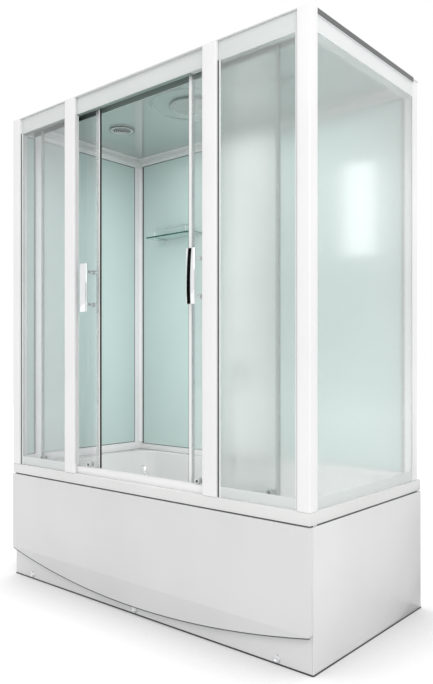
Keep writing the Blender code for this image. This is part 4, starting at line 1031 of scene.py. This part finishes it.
@dataclass
class Ceiling:
    """The roof, its stepped cove, the rain shower, the vent and the lamp."""

    cove_steps: Outline = (
        (0.0004, -0.0003), (0.0004, -0.0260), (0.0070, -0.0260), (0.0095, -0.0240),
        (0.0100, -0.0080), (0.0240, -0.0060), (0.0270, -0.0003),
    )
    fitting_depth: float = 0.016
    nozzle_rings: tuple[tuple[float, int], ...] = (
        (0.015, 6), (0.031, 12), (0.047, 18), (0.063, 24), (0.079, 30)
    )
    nozzle_radius: float = 0.0021
    nozzle: Outline = ((0, 0), (1.5, 0), (1.35, 0.35), (1, 0.55), (0.7, 1.3), (0, 1.4))
    throat: Outline = ((0, 0.0002), (0.042, 0.0002), (0.042, 0.0009), (0.021, 0.0014), (0, 0.0015))
    vent_rim: Outline = (
        (0.0455, 0.0006), (0.0500, 0.0018), (0.0560, 0.0016), (0.0585, -0.0008), (0.0500, -0.0006)
    )
    vent_gap: Outline = (
        (0.0590, -0.0004), (0.0612, -0.0004), (0.0608, 0.0006), (0.0592, 0.0006)
    )
    louvre_radii: tuple[float, ...] = (0.012, 0.022, 0.032, 0.042)
    louvre: Outline = ((-0.0018, 0.0010), (0.0018, 0.0016), (0.0014, 0.0038), (-0.0012, 0.0030))
    bezel: Outline = ((0.046, 0.0078), (0.056, 0.0050), (0.055, 0.0085), (0.047, 0.0112))
    lens: Outline = (
        (0, 0.0141), (0.020, 0.0141), (0.021, 0.0150), (0.023, 0.0142), (0.030, 0.0132),
        (0.031, 0.0140), (0.033, 0.0126), (0.044, 0.0100), (0.044, 0.0082), (0, 0.0082),
    )

    def build(self) -> None:
        """Make the cove, the nozzles, the vent's louvres and the lamp's rings."""
        self.cove()
        self.nozzles()
        self.louvres()
        self.lamp_rings()

    def cove(self) -> None:
        """Make the stepped moulding where the ceiling meets the headers."""
        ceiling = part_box("rain_shower")[1].z - self.fitting_depth
        left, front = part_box("header_left")[1].x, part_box("header_front")[1].y
        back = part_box("header_back")[0].y
        shape = bmesh.new()
        rim_run(shape, moved(self.cove_steps, 0, ceiling), (left, front), (-left, back))
        show("ceiling_cove", shape, COVE_ACRYLIC, smooth=25)

    def underside(self, name: str) -> Point:
        """Return the middle of a round fitting's lower face."""
        middle = centre(name)
        return (middle.x, middle.y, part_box(name)[0].z)

    def nozzles(self) -> None:
        """Make the rain shower's soft nozzles."""
        across, along, height = self.underside("rain_shower")
        profile = scaled(self.nozzle, self.nozzle_radius, self.nozzle_radius)
        shape = bmesh.new()
        for radius, count in self.nozzle_rings:
            for step in range(count):
                angle = tau * step / count
                place = (across + radius * cos(angle), along + radius * sin(angle), height)
                lathed(shape, profile, place, DOWN, steps=8)
        show("rain_nozzles", shape, VENT_PLASTIC)

    def louvres(self) -> None:
        """Make the vent's black throat disc and gap ring, painted shade in its opening, and its
        rim and its round louvres.
        """
        middle = self.underside("ceiling_vent")
        throat, rings = bmesh.new(), bmesh.new()
        lathed(throat, self.throat, middle, DOWN)
        lathed(rings, self.vent_rim, middle, DOWN, steps=48, closed=True)
        lathed(throat, self.vent_gap, middle, DOWN, steps=48, closed=True)
        for radius in self.louvre_radii:
            ring = outward(self.louvre, 1, radius)
            lathed(rings, ring, middle, DOWN, steps=40, closed=True)
        show("vent_throat_shade", throat, BLACK_PLASTIC)
        show("vent_louvres", rings, VENT_PLASTIC)

    def lamp_rings(self) -> None:
        """Make the chromed ring and the ribbed lens of the lamp."""
        across, along, _ = self.underside("ceiling_lamp")
        middle = (across, along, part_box("ceiling_lamp")[1].z - self.fitting_depth)
        bezel, lens = bmesh.new(), bmesh.new()
        lathed(bezel, self.bezel, middle, DOWN, steps=48, closed=True)
        lathed(lens, self.lens, middle, DOWN, steps=48)
        show("lamp_ring", bezel, CHROME)
        show("lamp_lens", lens, CLEAR_PLASTIC)

    def dress(self) -> None:
        """Give the roof and its fittings their finishes."""
        dress("roof", CEILING_ACRYLIC, smooth=25)
        dress("rain_shower", RAIN_PLASTIC)
        dress("ceiling_vent", VENT_PLASTIC)
        dress("ceiling_lamp", VENT_PLASTIC)


@dataclass
class Fittings:
    """The shelf, the shower column and the mixer."""

    knob_radius: float = 0.0055
    knob_steps: int = 8
    bar_drop: float = 0.0035
    bar_inset: float = 0.0070
    edge_proud: float = 0.0012
    edge_chamfer: float = 0.0006
    edge_inset: float = 0.0005

    def build(self) -> None:
        """Make the ball ends of the shelf's rail and the shelf's edge."""
        self.rail_ends()
        self.shelf_edge()

    def rail_ends(self) -> None:
        """Make the two balls on the ends of the shelf's rail."""
        low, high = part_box("shelf_rail")
        turns = [pi * step / self.knob_steps for step in range(1, self.knob_steps)]
        ball = [(0, -1), *((sin(turn), -cos(turn)) for turn in turns), (0, 1)]
        profile = scaled(ball, self.knob_radius, self.knob_radius)
        shape = bmesh.new()
        for across in (low.x, high.x):
            place = (across, low.y + self.bar_inset, high.z - self.bar_drop)
            lathed(shape, profile, place, TO_RIGHT, steps=16)
        show("shelf_rail_ends", shape, CHROME)

    def shelf_edge(self) -> None:
        """Make the polished front edge of the shelf's glass, which shows deep green."""
        low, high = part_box("shelf_glass")
        face, chamfer = low.y - SEAT, self.edge_chamfer
        bottom, top, front = low.z - SEAT, high.z + SEAT, face - self.edge_proud
        outline = [
            (face, bottom),
            (face, top),
            (face - chamfer, top),
            (front, high.z - chamfer),
            (front, low.z + chamfer),
            (face - chamfer, bottom),
        ]
        shape = bmesh.new()
        drawn(shape, outline, Axis.X, low.x + self.edge_inset, high.x - self.edge_inset)
        show("shelf_edge", shape, SHELF_EDGE)

    def dress(self) -> None:
        """Give the fittings their finishes."""
        dress("shelf_glass", SHELF)
        dress("shelf_rail", CHROME)
        dress("shower_column", COLUMN_ACRYLIC)
        for name in ("bath_mixer", "mixer_dome", "mixer_lever", "diverter_knob"):
            dress(name, SATIN_CHROME)


@dataclass
class SlidingDoor:
    """One sliding door: glass, leading seal with its magnet, trailing seal, handle and rollers."""

    side: int
    word: str
    nose: float
    groove: float = 0.0024
    wall: float = 0.0015
    web: float = 0.0148
    play: float = 0.0001
    magnet_start: float = 0.0006
    magnet_chamfer: float = 0.0008
    magnet_inset: float = 0.002
    channel_reach: float = 0.0120
    channel_outer: float = 0.0032
    channel_wall: float = 0.0010
    channel_chamfer: float = 0.0006
    channel_inset: float = 0.001
    fin_reach: float = 0.0065
    fin: Pair = (0.0010, 0.0018)
    fin_root: Pair = (0.0008, 0.0004)
    hub: Outline = (
        (0, -0.0002), (0.0056, -0.0002), (0.0054, 0.0005), (0.0040, 0.0008), (0.0030, 0.0003),
        (0, 0.0002),
    )

    @property
    def body(self) -> str:
        """The body that the door's pieces ride on."""
        return (Body.LEFT_DOOR if self.side < 0 else Body.RIGHT_DOOR).value

    @property
    def wheels(self) -> list[str]:
        """The names of the door's four wheels."""
        ends = ("leading", "trailing")
        return [f"{self.word}_{level}_{end}" for level in ("upper", "lower") for end in ends]

    def build(self) -> None:
        """Make the seals and the wheels' hub caps."""
        self.leading_seal()
        self.trailing_seal()
        self.hubs()

    def leading_seal(self) -> None:
        """Make the seal on the meeting edge: a white nose, a black magnet strip and clear legs."""
        node = f"magnet_seal_{self.word}"
        low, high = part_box(node)
        lead = min(abs(low.x), abs(high.x))
        front, back, depth, nose = low.y, high.y, self.groove, self.nose
        white, dark, clear = bmesh.new(), bmesh.new(), bmesh.new()
        web, wall = min(nose, self.web), self.wall - self.play
        outline = [
            (depth, front), (nose, front), (nose, front + wall), (web, front + wall),
            (web, back - wall), (nose, back - wall), (nose, back), (depth, back),
        ]
        drawn(white, outward(outline, self.side, lead), Axis.Z, low.z, high.z)
        start, end, bevel = front + SEAT, back - SEAT, self.magnet_chamfer
        strip = [
            (self.magnet_start, start), (depth - self.play, start), (depth - self.play, end),
            (self.magnet_start, end), (0.0, end - bevel), (0.0, start + bevel),
        ]
        inset = self.magnet_inset
        drawn(dark, outward(strip, self.side, lead), Axis.Z, low.z + inset, high.z - inset)
        wall = self.wall - SEAT
        legs = [
            oblong((nose + SEAT, start), (high.x - low.x, end))
            for start, end in ((front, front + wall), (back - wall, back))
        ]
        if nose < self.web:
            legs.append(oblong((web + SEAT, front + self.wall), (self.web, back - self.wall)))
        for leg in legs:
            drawn(clear, outward(leg, self.side, lead), Axis.Z, low.z, high.z)
        seal = show(f"meeting_seal_{self.word}", white, WHITE_PLASTIC, self.body)
        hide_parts(node)
        show(f"magnet_strip_{self.word}", dark, BLACK_PLASTIC, self.body)
        show(f"seal_legs_{self.word}", clear, CLEAR_PLASTIC, self.body)

    def trailing_seal(self) -> None:
        """Make the clear seal on the trailing edge: a channel over the glass, with a soft fin."""
        low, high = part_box(f"door_glass_{self.word}")
        trail = max(abs(low.x), abs(high.x))
        reach, outer, bevel = self.channel_reach, self.channel_outer, self.channel_chamfer
        inner_front, inner_back = low.y - SEAT, high.y + SEAT
        front, back = inner_front - self.channel_wall, inner_back + self.channel_wall
        middle = (front + back) / 2
        outline = [
            (-reach, front),
            (outer - bevel, front),
            (outer, front + bevel),
            (outer, middle - self.fin_root[0]),
            (self.fin_reach, front + self.fin[0]),
            (self.fin_reach, front + self.fin[1]),
            (outer, middle + self.fin_root[1]),
            (outer, back - bevel),
            (outer - bevel, back),
            (-reach, back),
            (-reach, inner_back),
            (SEAT, inner_back),
            (SEAT, inner_front),
            (-reach, inner_front),
        ]
        clear = bmesh.new()
        start, end = low.z + self.channel_inset, high.z - self.channel_inset
        drawn(clear, outward(outline, self.side, trail), Axis.Z, start, end)
        show(f"trailing_seal_{self.word}", clear, CLEAR_PLASTIC, self.body)

    def hubs(self) -> None:
        """Make the dark hub cap on each wheel; its black also stands for the shadow on the wheel,
        as painted shade.
        """
        for name in self.wheels:
            place = centre(f"{name}_roller")
            place.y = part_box(f"{name}_roller")[0].y
            shape = bmesh.new()
            lathed(shape, self.hub, place, TO_FRONT, steps=20)
            show(f"{name}_hub", shape, BLACK_PLASTIC, f"{name}_wheel")

    def dress(self) -> None:
        """Give the door's frame pieces their finishes."""
        dress(f"door_glass_{self.word}", CLEAR_LEFT if self.side < 0 else CLEAR_RIGHT)
        dress(f"handle_{self.word}", CHROME)
        for name in self.wheels:
            dress(f"{name}_roller", ROLLER_PLASTIC)


@dataclass
class CentreGuide:
    """The clear guide in the middle of the sill that keeps the closed doors upright."""

    half_width: float = 0.018
    rise: float = 0.0036
    height: float = 0.058
    thickness: float = 0.0028
    bow: float = 2.2
    inner_share: float = 0.86
    behind_doors: float = 0.0036
    steps: int = 8

    def build(self) -> None:
        """Make the guide as a curved clear blade."""
        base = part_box("sill_front")[0].z + self.rise
        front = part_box("magnet_seal_left")[1].y + self.behind_doors
        outer, inner = [], []
        for step in range(self.steps + 1):
            angle = pi * step / self.steps
            along = front + self.thickness * self.bow * sin(angle)
            across = -self.half_width * cos(angle)
            outer.append((across, along))
            inner.append((across * self.inner_share, along + self.thickness))
        shape = bmesh.new()
        drawn(shape, outer + inner[::-1], Axis.Z, base, base + self.height)
        show("sill_guide", shape, CLEAR_PLASTIC)


# Studio


@dataclass(frozen=True)
class Lamp:
    """A soft rectangular lamp: its power, size, place, and the point that it faces."""

    name: str
    power: float
    size: Pair
    place: Point
    aim: Point
    seen: bool = False

    def build(self) -> None:
        """Hang the lamp."""
        data = bpy.data.lights.new(self.name, "AREA")
        data.shape = "RECTANGLE"
        data.size, data.size_y = self.size
        data.energy = self.power
        lamp = bpy.data.objects.new(self.name, data)
        lamp.location = self.place
        lamp.rotation_mode = "QUATERNION"
        facing = Vector(self.aim) - Vector(self.place)
        lamp.rotation_quaternion = facing.to_track_quat("-Z", "Y")
        bpy.context.scene.collection.objects.link(lamp)
        for ray in ("camera", "glossy", "transmission"):
            setattr(lamp, f"visible_{ray}", self.seen)


@dataclass(frozen=True)
class Card:
    """A dark card that only one kind of ray meets: its corners and that kind of ray."""

    name: str
    low: Point
    high: Point
    ray: str
    colour: Colour = (0.006, 0.006, 0.006)

    def build(self) -> None:
        """Set the card up."""
        shape = bmesh.new()
        drawn(shape, oblong(self.low[:2], self.high[:2]), Axis.Z, self.low[2], self.high[2])
        black = bpy.data.materials.new("card_black")
        black.use_nodes = True
        inputs = black.node_tree.nodes["Principled BSDF"].inputs
        inputs["Base Color"].default_value = (*self.colour, 1)
        inputs["Roughness"].default_value = 1.0
        inputs["Specular IOR Level"].default_value = 0.0
        made = placed(self.name, shape, black)
        for ray in ("camera", "diffuse", "glossy", "transmission", "volume_scatter", "shadow"):
            setattr(made, f"visible_{ray}", ray == self.ray)


@dataclass
class Studio:
    """Floor, light and camera."""

    camera_place: Point = (2.062, -2.311, 1.032)
    camera_turn: float = radians(40.51)
    lens: float = 36.03
    sensor: float = 36.0
    shift: float = 0.0281
    clip: Pair = (0.05, 60.0)
    floor_size: float = 14.0
    floor_sides: int = 64
    floor_drop: float = 0.0004
    floor_colour: Colour = (0.80, 0.80, 0.80)
    floor_shadow: Colour = (0.40, 0.40, 0.40)
    floor_glow: float = 0.80
    floor_shade_reach: float = 0.45
    floor_samples: int = 8
    white: Colour = (1.0, 1.0, 1.0)
    ambient: float = 0.91
    lean: Point = (0.02, -0.03, 0.10)
    # The first card is what the right handle's chrome mirrors. The second shades the side panel.
    cards: tuple[Card, ...] = (
        Card("dark_card", (-0.330, -0.900, 0.900), (-0.085, -0.898, 2.200), "glossy"),
        Card("shade_card", (0.88, 0.49, 0.05), (1.70, 0.50, 0.53), "diffuse"),
    )
    # The side pane mirrors the second lamp. Unseen lamps hang inside, as glass stops lamplight.
    lamps: tuple[Lamp, ...] = (
        Lamp("key_lamp", 23.0, (1.6, 1.6), (2.9, -2.3, 2.9), (0.4, -0.1, 1.0), True),
        Lamp("strip_lamp", 2.6, (0.32, 0.98), (3.240, 4.30, 2.665), (0.84, -0.07, 1.6), True),
        Lamp("cabin_lamp", 1.64, (0.60, 1.4), (-0.46, -0.325, 1.32), (-0.46, 0.375, 1.32)),
        Lamp("wall_lamp", 1.7, (0.4, 1.1), (0.05, -0.02, 1.20), (-0.8, 0.04, 1.20)),
        Lamp("corner_lamp", 0.75, (0.25, 1.3), (0.66, 0.02, 1.20), (0.76, 0.38, 1.20)),
        Lamp("top_lamp", 3.0, (1.1, 0.5), (0.12, 0.0, 2.14), (0.12, 0.0, 0.5)),
        Lamp("basin_lamp", 1.3, (0.8, 0.20), (0.42, -0.28, 0.86), (0.42, 0.16, 0.50)),
        Lamp("track_lamp", 0.15, (0.36, 0.02), (0.60, -0.352, 1.95), (0.60, -0.300, 2.60)),
    )

    def build(self) -> None:
        """Make the camera, the floor, the cards and the light."""
        self.camera()
        self.floor()
        self.world()
        for part in self.cards + self.lamps:
            part.build()

    def camera(self) -> None:
        """Set the camera where the photograph was taken from."""
        data = bpy.data.cameras.new("camera")
        data.lens = self.lens
        data.sensor_width = self.sensor
        data.shift_y = self.shift
        data.clip_start, data.clip_end = self.clip
        view = bpy.data.objects.new("camera", data)
        view.location = self.camera_place
        view.rotation_euler = (radians(90), 0, self.camera_turn)
        bpy.context.scene.collection.objects.link(view)
        bpy.context.scene.camera = view

    def floor(self) -> None:
        """Make the pale floor. It shows white, with the cabin's soft shadow; its glow is dimmed by
        ambient occlusion near the cabin, a painted contact shadow.
        """
        shape = bmesh.new()
        sides = self.floor_sides
        bmesh.ops.create_circle(shape, cap_ends=True, radius=self.floor_size, segments=sides)
        paper = bpy.data.materials.new("pale_floor")
        paper.use_nodes = True
        graph = Graph(paper.node_tree)
        graph.tree.nodes.clear()
        plain = graph.add("BsdfDiffuse", Color=(*self.floor_colour, 1))
        shown = graph.add("BsdfDiffuse", Color=(*self.floor_shadow, 1))
        # Ambient occlusion dims the floor's glow near the cabin: painted contact shadow.
        near = graph.add("AmbientOcclusion", Distance=self.floor_shade_reach)
        near.samples = self.floor_samples
        strength = graph.math("MULTIPLY", near.outputs["AO"], self.floor_glow)
        glow = graph.add("Emission", Color=(*self.white, 1), Strength=strength)
        both = graph.add("AddShader")
        choice = graph.add("MixShader", Fac=graph.seen())
        for socket, shader in (
            (both.inputs[0], shown),
            (both.inputs[1], glow),
            (choice.inputs[1], plain),
            (choice.inputs[2], both),
        ):
            graph.feed(socket, shader.outputs[0])
        graph.add("OutputMaterial", Surface=choice.outputs[0])
        made = placed("floor", shape, paper)
        made.location.z = -self.floor_drop

    def world(self) -> None:
        """Make the soft surroundings, which show as plain white."""
        world = bpy.data.worlds.new("studio")
        bpy.context.scene.world = world
        world.use_nodes = True
        graph = Graph(world.node_tree)
        place = graph.add("TexCoord").outputs["Generated"]
        soft: Socket | float = 0.0
        for axis, share in zip(Axis, self.lean):
            soft = graph.math("ADD", soft, graph.math("MULTIPLY", graph.part(place, axis), share))
        soft = graph.math("ADD", soft, self.ambient)
        excess = graph.math("MULTIPLY", graph.math("SUBTRACT", soft, 1.0), graph.seen())
        back = world.node_tree.nodes["Background"].inputs
        back["Color"].default_value = (*self.white, 1)
        graph.feed(back["Strength"], graph.math("SUBTRACT", soft, excess))


def main() -> None:
    """Build and dress each sub-assembly in order."""
    logging.basicConfig(level=logging.INFO, format="%(message)s")
    bpy.context.scene.view_settings.view_transform = "Standard"
    Studio().build()
    assemblies = [
        Bath(),
        CabinFrame(),
        FixedGlazing(),
        InnerWalls(),
        Ceiling(),
        Fittings(),
        SlidingDoor(-1, "left", nose=0.009),
        SlidingDoor(1, "right", nose=0.017),
    ]
    for assembly in assemblies:
        assembly.build()
        assembly.dress()
        log.info("%s done", type(assembly).__name__)
    CentreGuide().build()


if __name__ == "__main__":
    main()
